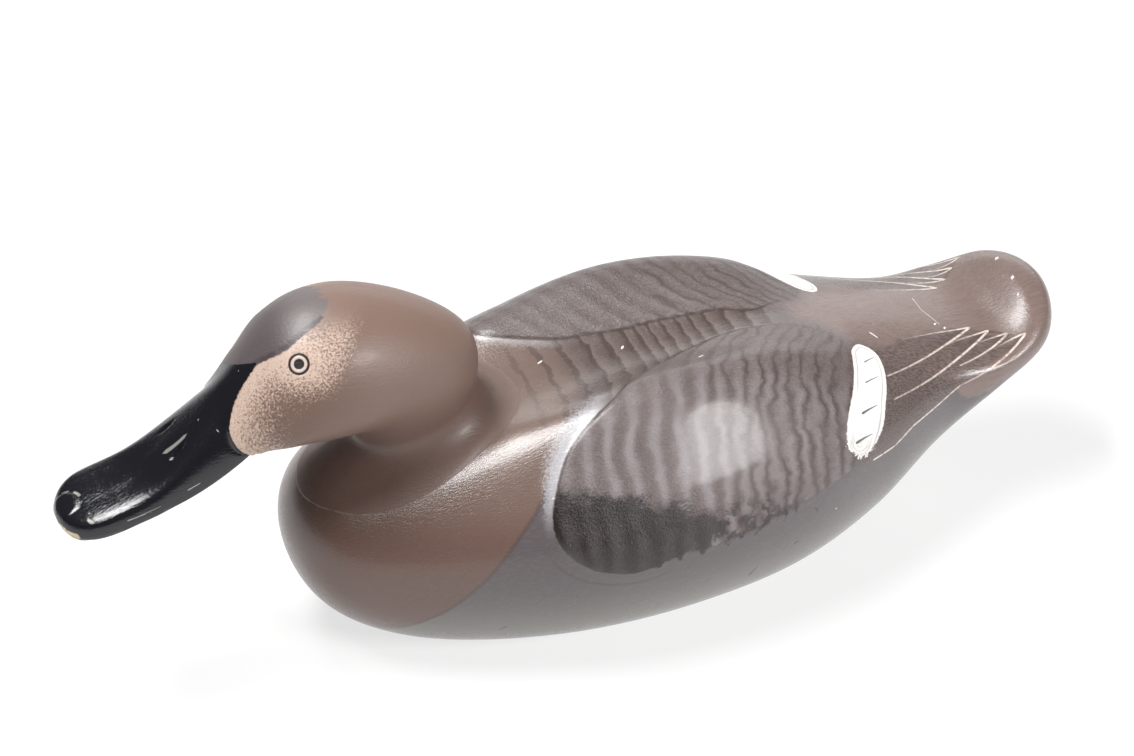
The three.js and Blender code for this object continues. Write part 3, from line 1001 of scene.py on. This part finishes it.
def side_paint(g, place, skin):
    """The purplish grey sides, paler and greener low down as painted light thrown up by the floor,
    with long soft brush marks and nicks.
    """
    marks = g.use(brush_marks, Place=skin, Length=16.0, Width=1.0)
    # Painted light: the grey turns paler and greener low down, as if lit from the floor below.
    tone = g.mix(g.step(g.split(place)["Z"], 58.0, 18.0), SIDE_GREY, FLOOR_LIT_AND_STREAK_GREY)
    tone = g.mix(g.times(g.step(marks, 0.45, 0.75), 0.25), tone, FLOOR_LIT_AND_STREAK_GREY)
    mirrored = mirror_skin(g, skin)
    nicks = [stroke(g, mirrored, a, b, 0.3, w, 0.3) for a, b, w in SIDE_NICKS]
    return g.mix(g.times(g.most(*nicks), 0.8), tone, WING_BLACK)


def breast_paint(g, place, skin, under):
    """Reddish brown on the breast, lighter over the shoulders, with a dotted rear edge."""
    z = g.split(skin)["Z"]
    marks = g.use(brush_marks, Place=place, Length=9.0, Width=0.7)
    high = g.step(z, 66.0, 97.0)
    tone = g.mix(high, BREAST_BROWN, BACK_BROWN)
    tone = g.mix(g.times(g.step(marks, 0.5, 0.75), 0.3), tone, BACK_BROWN)
    inside = g.field("breast")
    soft = g.blend(g.step(z, 84.0, 98.0), 0.6, 9.0)
    mask = g.use(painted_edge, Inside=inside, Ragged=g.times(soft, 0.5), Grain=1.2, Soft=soft)
    painted = g.mix(mask, under, tone)
    line = g.near(inside, 0.0, 1.6, 0.2)
    dots = g.use(stipple, Amount=g.times(line, g.step(z, 96.0, 84.0)), Size=0.55)
    return g.mix(g.times(dots, 0.6), painted, FEATHER_DARK)


def pale_band_and_sheen(g, under):
    """The dry brushed pale band between the breast's paint and each wing's front edge: pale grey
    paint brightened by a painted sheen, stronger on the left.
    """
    x, around, z = g.split(g.field("skin", "Vector"))
    out = g.times(g.field("wing"), -1.0)
    grain = g.noise(g.object_place(), 0.9, 3.0, 0.7)
    left = g.step(around, -8.0, 8.0)
    reach = g.blend(g.step(z, 74.0, 104.0), 6.0, g.blend(left, 6.5, 15.0))
    close = g.step(out, reach, 0.0)
    brushed = g.step(g.add(close, g.swing(grain, 1.5)), 0.1, 0.95)
    low = g.step(z, 70.0, 92.0)
    ahead = g.step(x, -6.0, 12.0)
    # The painted sheen is stronger on the left band than on the right.
    strong = g.times(ahead, g.blend(left, 0.3, 0.75))
    return g.mix(g.times(brushed, low, strong), under, PALE_BAND_AND_SHEEN)


def back_strokes(g, under):
    """Strokes across the back between the wings: each a dark line that fades forwards."""
    x, around, z = g.split(g.field("skin", "Vector"))
    shake = g.swing(g.noise(g.object_place(), 6.0, 3.0), 0.6)
    phase = g.add(g.field("back_strokes"), shake)
    line = g.step(g.wave(phase), 0.55, 0.95)
    lightness = g.math("FRACT", phase)
    grain = g.noise(g.join(g.times(x, 0.6), around, z), 0.6, 3.0, 0.75)
    speck = g.swing(grain, 1.6)
    tone = g.mix(g.step(g.add(lightness, speck), 0.1, 1.0, False), BACK_DARK, BACK_LIGHT)
    tone = g.mix(g.times(line, g.step(grain, 0.3, 0.5)), tone, STROKE_DARK)
    between = g.step(g.absolute(around), 64.0, 46.0)
    region = g.times(g.step(x, 22.0, -14.0), g.step(x, -104.0, -74.0))
    lines = g.times(line, g.step(x, 34.0, 14.0), g.step(x, -98.0, -80.0))
    painted = g.mix(g.times(region, between), under, tone)
    return g.mix(g.times(lines, between, 0.55), painted, STROKE_DARK)


def wing_strokes(g, place, skin):
    """Where the wavy strokes over a wing are dark, where light, and their fine grain."""
    x, around, z = g.split(skin)
    rear = g.step(x, -22.0, -58.0)
    drift = g.subtract(g.noise(place, 13.0, 2.0), 0.5)
    wobble = g.subtract(g.noise(g.join(g.times(x, 0.5), around, z), 4.0, 2.0), 0.5)
    shake = g.add(g.times(drift, g.blend(rear, 0.7, 1.7)), g.times(wobble, g.blend(rear, 0.2, 0.5)))
    strokes = g.wave(g.add(g.field("wing_strokes"), shake))
    grain = g.noise(g.join(g.times(x, 0.35), around, z), 0.8, 3.0, 0.8)
    wave = g.add(strokes, g.swing(grain, 2.6))
    dark = g.step(wave, g.blend(rear, 0.0, 0.3), 1.15)
    light = g.step(wave, 0.3, -1.2)
    return dark, light, grain


def dark_patch(g, place, skin, dark, grain):
    """Nearly black, mottled paint low on the front of each wing, in columns lower down."""
    x, around, _ = g.split(skin)
    cloud = g.swing(g.noise(place, 9.0, 3.0), 16.0)
    behind = g.least(g.most(g.subtract(31.0, x), 0.0), 60.0)
    start = g.add(60.0, g.times(behind, 0.6))
    depth = g.subtract(g.add(g.absolute(around), cloud), start)
    zone = g.step(g.add(depth, g.swing(grain, 16.0)), -3.0, 5.0)
    columns = g.step(depth, 9.0, 20.0)
    rear = g.step(x, -2.0, -44.0)
    solid = g.blend(columns, 1.0, g.blend(dark, 0.88, 1.0))
    thin = g.step(g.noise(place, 5.0, 3.0), g.blend(rear, 0.1, 0.42), g.blend(rear, 0.25, 0.58))
    thin = g.times(thin, g.blend(g.step(grain, 0.34, 0.5), 0.93, 1.0))
    return g.times(zone, solid, thin, g.blend(rear, 1.0, 0.8))


def wing_paint(g, under):
    """Grey brown wings combed with wavy strokes, nearly black low at the front, with the right wing
    darkened further as painted shade.
    """
    place = g.object_place()
    skin = g.field("skin", "Vector")
    x, around, _ = g.split(skin)
    out = g.absolute(around)
    rear = g.step(x, -22.0, -58.0)
    dark, light, grain = wing_strokes(g, place, skin)
    patchy = g.step(g.noise(place, 15.0, 2.0), 0.34, 0.58)
    tone = g.mix(g.times(g.step(grain, 0.38, 0.62), 0.8), WING_GREY, WING_LIGHT)
    pale = g.times(g.step(out, 30.0, 56.0), g.blend(rear, 0.6, 0.35))
    tone = g.mix(g.times(light, pale, g.blend(patchy, 0.5, 1.0)), tone, WING_PALE)
    strong = g.times(g.blend(rear, 0.35, 0.78), g.blend(patchy, 0.6, 1.0))
    tone = g.mix(g.times(dark, strong), tone, WING_DARK)
    # Painted shade: the right wing is darkened halfway to the dark wing paint, as if turned away
    # from the light.
    tone = g.mix(g.times(g.step(around, -16.0, -56.0), 0.5), tone, WING_DARK)
    black = dark_patch(g, place, skin, dark, grain)
    tone = g.mix(black, tone, WING_BLACK)
    low = g.times(g.step(out, 84.0, 97.0), g.step(x, 6.0, -16.0))
    depth = g.field("wing")
    lower = g.add(depth, g.times(low, g.subtract(g.times(dark, 3.0), 2.2)))
    rear_end = g.times(g.step(x, -82.0, -100.0), g.step(out, 34.0, 18.0))
    soft = g.blend(rear_end, 0.7, 12.0)
    mask = g.use(painted_edge, Inside=lower, Ragged=g.blend(low, 0.35, 1.1), Grain=2.2, Soft=soft)
    painted = g.mix(mask, under, tone)
    shown = g.times(g.step(out, 76.0, 50.0), g.step(x, -96.0, -84.0))
    painted = g.mix(g.times(g.near(depth, 0.2, 0.9, 0.25), shown, 0.75), painted, WING_DARK)
    low_front = g.times(g.step(out, 78.0, 90.0), g.step(x, -16.0, 2.0))
    second = g.times(g.near(depth, -5.0, 0.8, 0.2), low_front, 0.4)
    return g.mix(second, painted, STROKE_DARK)


def tail_paint(g, under):
    """Mauve brown over the tail, with fine marks along it."""
    skin = g.field("skin", "Vector")
    soft = g.blend(g.step(g.split(skin)["X"], -150.0, -124.0), 2.5, 18.0)
    mask = g.use(painted_edge, Inside=g.field("tail_brown"), Ragged=1.5, Grain=4.0, Soft=soft)
    marks = g.use(brush_marks, Place=skin, Length=18.0, Width=0.9)
    tone = g.mix(g.times(g.step(marks, 0.35, 0.7), 0.4), TAIL_MAUVE, WING_GREY)
    return g.mix(mask, under, tone)


def feather_paint(g, under):
    """Long folded feathers beside the tail: fine pale hairpin lines over streaked brown."""
    skin = g.field("skin", "Vector")
    x, around, z = g.split(skin)
    mirrored = mirror_skin(g, skin)
    out = g.absolute(around)
    slanted = g.join(g.subtract(x, g.times(out, 0.55)), g.add(out, g.times(x, 0.55)), z)
    marks = g.use(brush_marks, Place=slanted, Length=26.0, Width=0.6)
    fan = g.use(painted_edge, Inside=g.field("feather_fan"), Ragged=0.5, Grain=2.0, Soft=2.5)
    tone = g.mix(g.step(marks, 0.4, 0.58), FEATHER_DARK, FEATHER_FILL)
    tone = g.mix(g.times(g.step(marks, 0.56, 0.72), 0.35), tone, TAIL_MAUVE)
    painted = g.mix(g.times(fan, 0.85), under, tone)
    fills = []
    lines = []
    for tip, upper, upper_bend, lower, lower_bend in TAIL_FEATHERS:
        middle = tuple((2 * a + b + 2 * c) / 5 for a, b, c in zip(tip, upper, lower))
        near_tip = (tip[0] + 1.2, tip[1] + 0.5)
        fills.append(stroke(g, mirrored, near_tip, middle, 0, 3.6, 1.2, 0.9, 1.5))
        lines.append(stroke(g, mirrored, tip, upper, upper_bend, 0.9, 0.5, 0.85))
        lines.append(stroke(g, mirrored, tip, lower, lower_bend, 1.05, 0.55, 0.4))
    for start, end in zip(LONG_LINE, LONG_LINE[1:]):
        past = tuple(b + 0.03 * (b - a) for a, b in zip(start, end))
        lines.append(stroke(g, mirrored, start, past, 0, 0.75, 0.75))
    painted = g.mix(g.times(g.most(*fills), 0.6), painted, FEATHER_DARK)
    worn = g.blend(g.step(g.noise(skin, 2.0, 3.0), 0.36, 0.54), 0.45, 1.0)
    return g.mix(g.times(g.most(*lines), worn, 0.9), painted, FEATHER_CREAM)


def patch_paint(g, under):
    """The white patch at the rear of each wing, brushed, with slanted dark dashes."""
    place = g.object_place()
    x, around, _ = g.split(g.field("skin", "Vector"))
    out = g.absolute(around)
    mirrored = g.join(x, out)
    low = g.step(out, 60.0, 77.0)
    depth = g.field("white_patch")
    inside = g.subtract(depth, g.times(low, g.noise(place, 1.0), 4.0))
    mask = g.use(painted_edge, Inside=inside, Ragged=g.blend(low, 0.2, 2.4), Grain=1.4, Soft=0.4)
    rows = g.join(g.times(out, 0.08), g.times(depth, 1.6), 0.0)
    marks = g.step(g.noise(rows, 1.0, 3.0, 0.7), 0.42, 0.66)
    tone = g.mix(g.times(marks, g.blend(low, 0.45, 0.75)), PATCH_WHITE, PATCH_CREAM)
    second = g.times(g.near(depth, 1.7, 0.5, 0.15), g.step(x, -100.0, -112.0), 0.4)
    tone = g.mix(second, tone, WING_GREY)
    dashes = [stroke(g, mirrored, a, b, 0.2, w, 0.25) for a, b, w in PATCH_DASHES]
    tone = g.mix(g.times(g.most(*dashes), 0.9), tone, DASH_BLACK)
    return g.mix(mask, under, tone)


# Chips and scratches on the left side and over the back: place, end, width.
BODY_CHIPS = [
    [(-202.5, -13.8), (-200.3, -12.2), 2.6],
    [(-201.3, 1.2), (-199.8, 3.4), 2.4],
    [(-198.8, 11.2), (-197.6, 12.4), 2.0],
    [(-160.8, 9.8), (-159.2, 11.2), 1.0],
    [(-163.8, 12.6), (-162.4, 14.2), 1.0],
    [(-159.2, -8.8), (-158.8, 0), 0.35],
    [(-158.8, 0), (-162, 11), 0.35],
    [(-127, 13.8), (-129.5, 17.5), 0.8],
    [(-46.6, 26), (-43.6, 27.6), 1.3],
    [(-23.8, -3.6), (-22.2, -1.8), 1.1],
    [(9.6, -8.6), (12.2, -7.6), 0.8],
]


def body_wear(g, under):
    """Chips down to pale filler, a thin scratch over the tail, and fine pale specks."""
    skin = g.field("skin", "Vector")
    chips = [stroke(g, skin, a, b, 0, w, w * 0.7) for a, b, w in BODY_CHIPS]
    specks = g.use(flecks, Spacing=15.0, Size=0.42, Share=0.4)
    worn = g.most(*chips)
    tone = g.mix(worn, under, CHALK)
    return g.mix(g.times(specks, 0.8), tone, CHALK), worn


def seam_line(g, under):
    """The hairline of the glued joint, pale where the paint has cracked over it."""
    place = g.object_place()
    line = g.near(g.field("seam"), 0.0, 0.3, 0.1)
    x, y, _ = g.split(place)
    left = g.times(g.step(x, 78.0, 90.0), g.step(y, -8.0, 6.0))
    broken = g.step(g.noise(place, 6.0, 2.0), 0.4, 0.56)
    return g.mix(g.times(line, left, broken, SEAM_STRENGTH), under, CHALK)


def finish_surface(g, shader, base, heights):
    """Joins a colour and bumps of given heights in millimetres to the shader."""
    normal = None
    for height, size in heights:
        bump = g.node("ShaderNodeBump", {"Height": height})
        bump.inputs["Distance"].default_value = size * MM
        bump.inputs["Strength"].default_value = 1.0
        g.fill(bump.inputs["Normal"], normal)
        normal = bump.outputs["Normal"]
    g.fill(shader.inputs["Base Color"], base)
    g.fill(shader.inputs["Normal"], normal)


def wing_relief(g, skin):
    """The ridges that the comb left in the paint of the wings and between them."""
    wings = g.times(g.wave(g.field("wing_strokes")), 0.5)
    between = g.times(g.wave(g.field("back_strokes")), 0.5)
    on_wing = g.step(g.field("wing"), 0.0, 3.0)
    x, around, _ = g.split(skin)
    along = g.times(g.step(x, 10.0, -4.0), g.step(x, -96.0, -80.0))
    region = g.times(along, g.step(g.absolute(around), 60.0, 44.0))
    return g.blend(on_wing, g.times(between, region), wings)


def body_material():
    material, g, shader = new_material("body paint", BODY_COAT_ROUGHNESS)
    place = g.object_place()
    skin = g.field("skin", "Vector")
    tone = side_paint(g, place, skin)
    tone = breast_paint(g, place, skin, tone)
    tone = tail_paint(g, tone)
    tone = back_strokes(g, tone)
    tone = pale_band_and_sheen(g, tone)
    tone = wing_paint(g, tone)
    tone = feather_paint(g, tone)
    tone = patch_paint(g, tone)
    tone = seam_line(g, tone)
    tone, worn = body_wear(g, tone)
    wing = g.step(g.field("wing"), -1.0, 2.0)
    rough = g.blend(g.noise(place, 22.0, 3.0), *BODY_ROUGHNESS)
    g.fill(shader.inputs["Roughness"], g.add(rough, g.times(wing, WING_ROUGHER)))
    g.fill(shader.inputs["Coat Weight"], BODY_COAT)
    marks = g.use(brush_marks, Place=skin, Length=5.0, Width=0.75)
    pores = g.noise(place, 1.0, 3.0, 0.7)
    pores = g.times(pores, g.blend(wing, 0.25, 1.0))
    heights = [(marks, MARK_HEIGHT), (pores, PORE_HEIGHT), (wing_relief(g, skin), COMB_HEIGHT)]
    heights.append((g.times(worn, -1.0), CHIP_DEPTH))
    finish_surface(g, shader, tone, heights)
    return material


def head_brown(g, place):
    """Warm brown, darker and redder down the neck."""
    x, _, z = g.split(place)
    marks = g.use(brush_marks, Place=place, Length=10.0, Width=0.8)
    fall = g.add(z, g.times(g.subtract(x, 70.0), 0.12))
    tone = g.mix(g.step(fall, 128.0, 104.0), HEAD_BROWN, NECK_BROWN)
    tone = g.mix(g.step(fall, 100.0, 82.0), tone, BREAST_BROWN)
    tone = g.mix(g.times(g.step(marks, 0.5, 0.78), 0.25), tone, BACK_BROWN)
    rear = g.times(g.step(x, 60.0, 30.0), g.step(z, 108.0, 96.0))
    return g.mix(rear, tone, BACK_BROWN)


def cheek_paint(g, under):
    """Cream stippled with brown, closing up to plain brown behind the eye and low down."""
    place = g.object_place()
    x, _, z = g.split(place)
    back = g.times(g.field("past_lip"), -1.0)
    centre = g.node("ShaderNodeVectorMath", operation="DISTANCE")
    g.fill(centre.inputs[0], g.join(x, 0.0, z))
    g.fill(centre.inputs[1], CHEEK_MIDDLE)
    middle = g.step(centre.outputs[1], 21.0, 4.0)
    rim = g.step(back, 1.0, 6.0)
    amount = g.add(g.add(0.2, g.times(rim, 0.22)), g.times(middle, 0.5))
    amount = g.add(amount, g.times(g.step(back, 18.0, 42.0), 0.85))
    eye = g.step(g.field("eye_gap"), 13.0, 5.0)
    amount = g.subtract(amount, g.times(eye, 0.16))
    dots = g.use(stipple, Amount=amount, Size=0.85, Crisp=0.3)
    painted = g.mix(dots, CHEEK_CREAM, g.mix(0.35, CHEEK_DOT, under))
    high = g.times(g.step(z, 163.5, 157.0), g.step(z, 108.0, 114.0))
    ahead = g.times(g.step(back, 66.0, 20.0), g.step(x, 82.0, 106.0))
    return g.mix(g.times(high, ahead), under, painted)


def crown_paint(g, under):
    """The dark grey patch on the forehead, with a purplish lower border."""
    place = g.object_place()
    x, y, z = g.split(place)
    rear_half, middle_half, front_half = CROWN_HALF_WIDTHS
    width = g.blend(g.step(x, 99.0, 122.0), rear_half, middle_half)
    width = g.blend(g.step(x, 122.0, 137.0), width, front_half)
    width = g.add(width, g.times(g.step(y, 0.0, -3.0), CROWN_WIDER_RIGHT))
    side = g.subtract(width, g.absolute(y))
    grain = g.swing(g.noise(g.join(g.times(x, 0.3), y, z), 1.6, 3.0), 14.0)
    corner = g.times(g.step(side, 5.0, 0.0), 5.0)
    rear = g.subtract(g.subtract(x, CROWN_REAR_X), corner)
    inside = g.least(side, g.add(rear, grain))
    mask = g.use(painted_edge, Inside=inside, Ragged=0.4, Grain=1.5, Soft=0.8)
    high = g.step(z, 120.0, 130.0)
    marks = g.use(brush_marks, Place=place, Length=5.0, Width=0.6)
    tone = g.mix(g.times(g.step(marks, 0.45, 0.7), 0.4), CROWN_GREY, WING_GREY)
    front = g.times(g.step(x, 112.0, 132.0), 0.5)
    tone = g.mix(front, tone, CROWN_EDGE)
    broken = g.step(g.noise(place, 4.0, 2.0), 0.3, 0.6)
    tone = g.mix(g.times(g.near(side, 1.0, 2.2, 0.3), broken, 0.7), tone, CROWN_EDGE)
    return g.mix(g.times(mask, high), under, tone)


def bill_paint(g, under):
    """Gloss black over the bill, up to the cheek's lip and a corner below the forehead."""
    place = g.object_place()
    _, y, z = g.split(place)
    slant = g.times(g.least(g.most(y, -14.0), 7.0), BILL_TOP_SLANT)
    top = g.subtract(BILL_TOP_Z, g.subtract(z, slant))
    inside = g.least(g.field("past_lip"), top)
    mask = g.use(painted_edge, Inside=inside, Ragged=0.25, Grain=1.4, Soft=0.35)
    return g.mix(mask, under, BILL_BLACK), mask


def eye_paint(g, under):
    """A black pupil and ring round a cream iris."""
    gap = g.field("eye_gap")
    half = EYE_RING_WIDTH / 2
    outer = EYE_RING_RADIUS + half
    inner = EYE_RING_RADIUS - half
    tone = g.mix(g.step(gap, outer + 0.12, outer - 0.12), under, EYE_BLACK)
    tone = g.mix(g.step(gap, inner + 0.1, inner - 0.1), tone, IRIS_CREAM)
    return g.mix(g.step(gap, PUPIL_RADIUS + 0.12, PUPIL_RADIUS - 0.12), tone, EYE_BLACK)


# Rubbed and scratched places on the left of the bill, seen from the side as x and z.
BILL_SCRATCHES = [
    [(191.5, 95.9), (184.1, 97.0), 0.5],
    [(187, 96.6), (178, 98.8), 0.3],
    [(166.9, 103.2), (161.6, 105.3), 0.6],
    [(205.8, 96.7), (203.4, 96.8), 1.0],
    [(151.9, 123.9), (151.2, 123.1), 0.6],
]


def bill_wear(g, under, black):
    """Rubbed pale edges round the nail, partly a painted highlight; scratches; specks, partly dust
    and partly painted sparkle; a painted glint in the left nostril; and bare wood at the tip.
    """
    place = g.object_place()
    x, y, z = g.split(place)
    side = g.join(x, z)
    above = g.join(x, y)
    left = g.step(y, 0.0, 2.0)
    marks = [g.times(stroke(g, side, a, b, 0, w, w * 0.5), left) for a, b, w in BILL_SCRATCHES]
    nail = g.vector("LENGTH", g.join(g.subtract(x, NAIL_X), y))
    # The pale rim round the nail is partly rubbed paint and partly a painted highlight.
    rim = g.times(g.near(nail, NAIL_RADIUS, 0.9, 0.2), g.step(x, 211.0, 208.0))
    worn = g.times(g.step(z, 93.0, 95.0), g.step(g.noise(place, 3.0, 3.0), 0.44, 0.6))
    # A painted highlight: a pale glint laid along the left nostril.
    painted_nostril_glint = stroke(g, above, (171.6, 3.0), (161.8, 4.9), -0.5, 1.9, 1.2, 0.0, 0.6)
    # The bill's pale specks are partly dust and partly painted sparkle.
    specks = g.use(flecks, Spacing=6.0, Size=0.33, Share=0.45)
    pale = g.most(*marks, g.times(rim, worn), g.times(painted_nostril_glint, 0.7), g.times(specks, 0.55))
    tone = g.mix(g.times(pale, g.times(black, 0.42)), under, CHALK)
    edge = g.times(g.step(x, 206.0, 211.0), g.step(z, 93.0, 91.0), g.step(y, 2.0, 5.0))
    ragged = g.add(edge, g.swing(g.noise(place, 2.4, 2.0), 1.5))
    chipped = g.times(g.step(ragged, 0.75, 0.9), edge)
    return g.mix(chipped, tone, BARE_WOOD), chipped


def head_material():
    material, g, shader = new_material("head paint", HEAD_COAT_ROUGHNESS)
    place = g.object_place()
    tone = head_brown(g, place)
    tone = cheek_paint(g, tone)
    tone = crown_paint(g, tone)
    tone, black = bill_paint(g, tone)
    tone = eye_paint(g, tone)
    tone = seam_line(g, tone)
    tone, chipped = bill_wear(g, tone, black)
    specks = g.use(flecks, Spacing=17.0, Size=0.4, Share=0.35)
    tone = g.mix(g.times(specks, 0.6), tone, CHALK)
    g.fill(shader.inputs["Roughness"], g.blend(black, HEAD_ROUGHNESS, BILL_ROUGHNESS))
    g.fill(shader.inputs["Coat Weight"], g.blend(black, HEAD_COAT, BILL_COAT))
    marks = g.use(brush_marks, Place=place, Length=6.0, Width=0.75)
    pores = g.noise(place, 1.0, 3.0, 0.7)
    heights = [(marks, MARK_HEIGHT), (pores, HEAD_PORE_HEIGHT)]
    heights.append((g.times(chipped, -1.0), TIP_CHIP_DEPTH))
    finish_surface(g, shader, tone, heights)
    return material


# The camera looks from in front of the duck's left side, well above it.
CAMERA_AZIMUTH = 22.47
CAMERA_ELEVATION = 38.83
CAMERA_DISTANCE = 1321.5
CAMERA_AIM = (-5.9, -20.0, 76.8)
CAMERA_LENS = 101.8
SENSOR_WIDTH = 36.0

# Soft lights, in metres and watts: azimuth, elevation, distance, width and height, power.
LIGHTS = {
    "overhead_softbox": (114, 68, 1.3, (1.0, 0.42), 26.0),
    "side_softbox": (-30, 30, 1.5, (0.5, 0.4), 18.0),
    "far_card": (205, 16, 2.0, (2.6, 0.8), 10.0),
}
LIT_HEIGHT = 0.08
WORLD_STRENGTH = 0.05
FLOOR_HALF = 6.0
FLOOR_DROP = 0.2
FLOOR_GREY = 0.3
FLOOR_ROUGHNESS = 0.8
FLOOR_GLOW = 0.7


def direction(azimuth, elevation):
    """A unit vector; azimuth 0 is the duck's left and turns towards the bill."""
    a, e = np.radians(azimuth), np.radians(elevation)
    return Vector((np.sin(a) * np.cos(e), np.cos(a) * np.cos(e), np.sin(e)))


def make_camera():
    data = bpy.data.cameras.new("camera")
    data.lens = CAMERA_LENS
    data.sensor_width = SENSOR_WIDTH
    camera = new_object("camera", data)
    back = direction(CAMERA_AZIMUTH, CAMERA_ELEVATION)
    camera.location = (Vector(CAMERA_AIM) + back * CAMERA_DISTANCE) * MM
    camera.rotation_mode = "QUATERNION"
    camera.rotation_quaternion = (-back).to_track_quat("-Z", "Y")
    bpy.context.scene.camera = camera


def make_light(name, azimuth, elevation, distance, size, power):
    data = bpy.data.lights.new(name, "AREA")
    data.shape = "ELLIPSE"
    data.size, data.size_y = size
    data.energy = power
    light = new_object(name, data)
    towards = direction(azimuth, elevation)
    light.location = towards * distance + Vector((0, 0, LIT_HEIGHT))
    light.rotation_mode = "QUATERNION"
    light.rotation_quaternion = towards.to_track_quat("Z", "Y")


def make_stage():
    """A plain pale floor and plain soft light all round."""
    floor_mesh = bpy.data.meshes.new("floor")
    corners = [(a * FLOOR_HALF, b * FLOOR_HALF, 0) for a, b in ((-1, -1), (1, -1), (1, 1), (-1, 1))]
    floor_mesh.from_pydata(corners, [], [(0, 1, 2, 3)])
    floor = new_object("floor", floor_mesh)
    floor.location.z = -FLOOR_DROP * MM
    material = bpy.data.materials.new("floor white")
    material.use_nodes = True
    shader = material.node_tree.nodes["Principled BSDF"]
    shader.inputs["Base Color"].default_value = (FLOOR_GREY, FLOOR_GREY, FLOOR_GREY, 1)
    shader.inputs["Roughness"].default_value = FLOOR_ROUGHNESS
    shader.inputs["Specular IOR Level"].default_value = 0.0
    shader.inputs["Emission Color"].default_value = (1, 1, 1, 1)
    shader.inputs["Emission Strength"].default_value = FLOOR_GLOW
    floor_mesh.materials.append(material)
    world = bpy.data.worlds.new("studio")
    world.use_nodes = True
    sky = world.node_tree.nodes["Background"]
    sky.inputs["Color"].default_value = (1, 1, 1, 1)
    sky.inputs["Strength"].default_value = WORLD_STRENGTH
    bpy.context.scene.world = world
    for name, settings in LIGHTS.items():
        make_light(name, *settings)
    bpy.context.scene.view_settings.view_transform = "Standard"


make_camera()
make_stage()
body = make_body()
head = make_head()
for piece, node, slot, material in (
    (body, "body", "painted_body", body_material()),
    (head, "head", "painted_head", head_material()),
):
    piece.data.materials.clear()
    piece.data.materials.append(material)
    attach(piece, "root")
    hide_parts(node)
